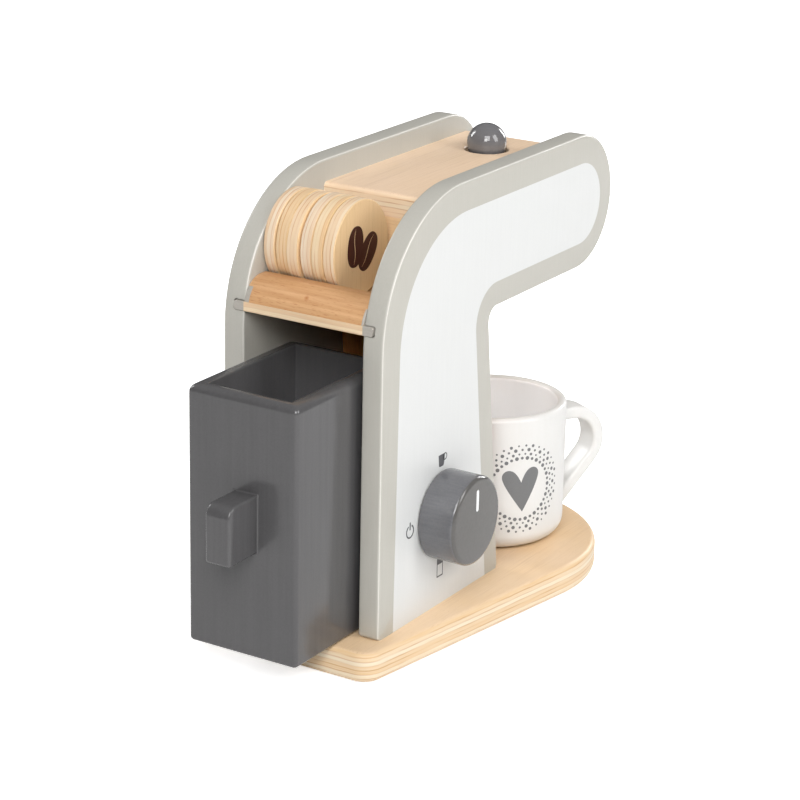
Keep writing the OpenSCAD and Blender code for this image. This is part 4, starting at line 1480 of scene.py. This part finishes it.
@dataclass
class Studio:
    """A pale floor, soft lamps and the camera."""

    camera_place: Corner = (-512.07, 842.36, 415.46)
    right: Corner = (-0.8481, -0.5295, 0.0195)
    up: Corner = (0.1873, -0.2652, 0.9458)
    lens: float = 119.22
    sensor: float = 36.0
    # Brightness of the surroundings and of the floor as lamps; to the camera both look white.
    sky: float = 0.1
    glow: float = 0.08
    # Distances from the middle in m, and how much the floor glows there to the camera.
    shine: tuple[float, float, float, float] = (0.35, 1.6, 0.65, 1.0)
    floor_low: float = -0.2
    floor_wide: float = 16000.0
    # The height that the lamps are aimed at.
    aim: float = 80.0
    # Name, direction from the object, distance, width and height in mm, and brightness.
    lamps: tuple[tuple[str, Corner, float, float, float, float], ...] = (
        ("side_softbox", (-0.83, -0.04, 0.556), 1200, 460, 700, 6.1),
        ("camera_softbox", (-0.356, 0.802, 0.479), 1700, 500, 500, 5.4),
        ("over_camera_softbox", (-0.4, 0.6, 0.6), 2000, 1000, 1000, 7.5),
        ("overhead_softbox", (0.1, -0.1, 1.0), 1800, 4000, 4000, 0.18),
        ("left_softbox", (0.879, -0.015, 0.4755), 1300, 300, 500, 10.8),
        ("front_softbox", (-0.136, -0.946, 0.2925), 1300, 300, 500, 10.0),
    )

    def camera(self) -> None:
        """Adds the camera."""
        data = bpy.data.cameras.new("camera")
        data.lens = self.lens
        data.sensor_width = self.sensor
        data.clip_end = 50.0
        obj = bpy.data.objects.new("camera", data)
        bpy.context.scene.collection.objects.link(obj)
        right = Vector(self.right).normalized()
        up = Vector(self.up)
        up = (up - right * up.dot(right)).normalized()
        turned = Matrix((right, up, right.cross(up))).transposed()
        obj.matrix_world = Matrix.Translation(Vector(self.camera_place) * MM) @ turned.to_4x4()
        bpy.context.scene.camera = obj

    @staticmethod
    def seen(tree: Any) -> Any:
        """Returns a socket that is 1 for what the camera sees and 0 for what only lights the object."""
        path = node(tree, "LightPath").outputs
        return math_node(tree, "MAXIMUM", path["Is Camera Ray"], path["Is Transmission Ray"])

    def floor(self) -> None:
        """Adds the floor: pale, with the object's shadow, and glowing softly like a lit table."""
        deselect()
        bpy.ops.mesh.primitive_plane_add(size=self.floor_wide * MM, location=(0, 0, self.floor_low * MM))
        obj = bpy.context.object
        obj.name = "floor"
        material = bpy.data.materials.new("pale_floor")
        material.use_nodes = True
        tree = material.node_tree
        tree.nodes.clear()
        matt = node(tree, "BsdfDiffuse", inputs={"Color": linear("#F4F4F4")})
        # Far from the lamps the floor glows more, so that it stays white up to its edge.
        place = node(tree, "TexCoord").outputs["Object"]
        away = node(tree, "VectorMath", {"operation": "LENGTH"}, {0: place})
        shine = remap(tree, away.outputs["Value"], *self.shine)
        strength = remap(tree, self.seen(tree), 0.0, 1.0, self.glow, shine)
        glow = node(tree, "Emission", inputs={"Color": (1, 1, 1, 1), "Strength": strength})
        both = node(tree, "AddShader", inputs={0: matt.outputs[0], 1: glow.outputs[0]})
        node(tree, "OutputMaterial", inputs={"Surface": both.outputs[0]})
        obj.data.materials.append(material)

    def world(self) -> None:
        """Adds the white surroundings: softer as a lamp than they look to the camera."""
        world = bpy.data.worlds.new("surroundings")
        bpy.context.scene.world = world
        world.use_nodes = True
        tree = world.node_tree
        tree.nodes.clear()
        strength = remap(tree, self.seen(tree), 0.0, 1.0, self.sky, 1.0)
        back = node(tree, "Background", inputs={"Color": (1, 1, 1, 1), "Strength": strength})
        node(tree, "OutputWorld", inputs={"Surface": back.outputs[0]})

    def light(self) -> None:
        """Adds the soft lamps."""
        for name, direction, distance, wide, tall, bright in self.lamps:
            data = bpy.data.lights.new(name, "AREA")
            data.shape = "RECTANGLE"
            data.size = wide * MM
            data.size_y = tall * MM
            data.energy = bright * math.pi * wide * tall * MM ** 2
            obj = bpy.data.objects.new(name, data)
            bpy.context.scene.collection.objects.link(obj)
            way = Vector(direction).normalized()
            obj.location = (way * distance + TOP * self.aim) * MM
            obj.rotation_euler = (-way).to_track_quat("-Z", "Y").to_euler()

    def build(self) -> None:
        """Sets up the studio."""
        bpy.context.scene.view_settings.view_transform = "Standard"
        self.camera()
        self.floor()
        self.world()
        self.light()


def main() -> None:
    """Builds every sub-assembly."""
    logging.basicConfig(level=logging.INFO, format="%(message)s")
    for part in (Studio, BaseBoard, SidePanels, CrossBoards, Pods, Tank, PushButton, Knob, Mug, Spout):
        part().build()
        LOG.info("%s is ready", part.__name__)


if __name__ == "__main__":
    main()
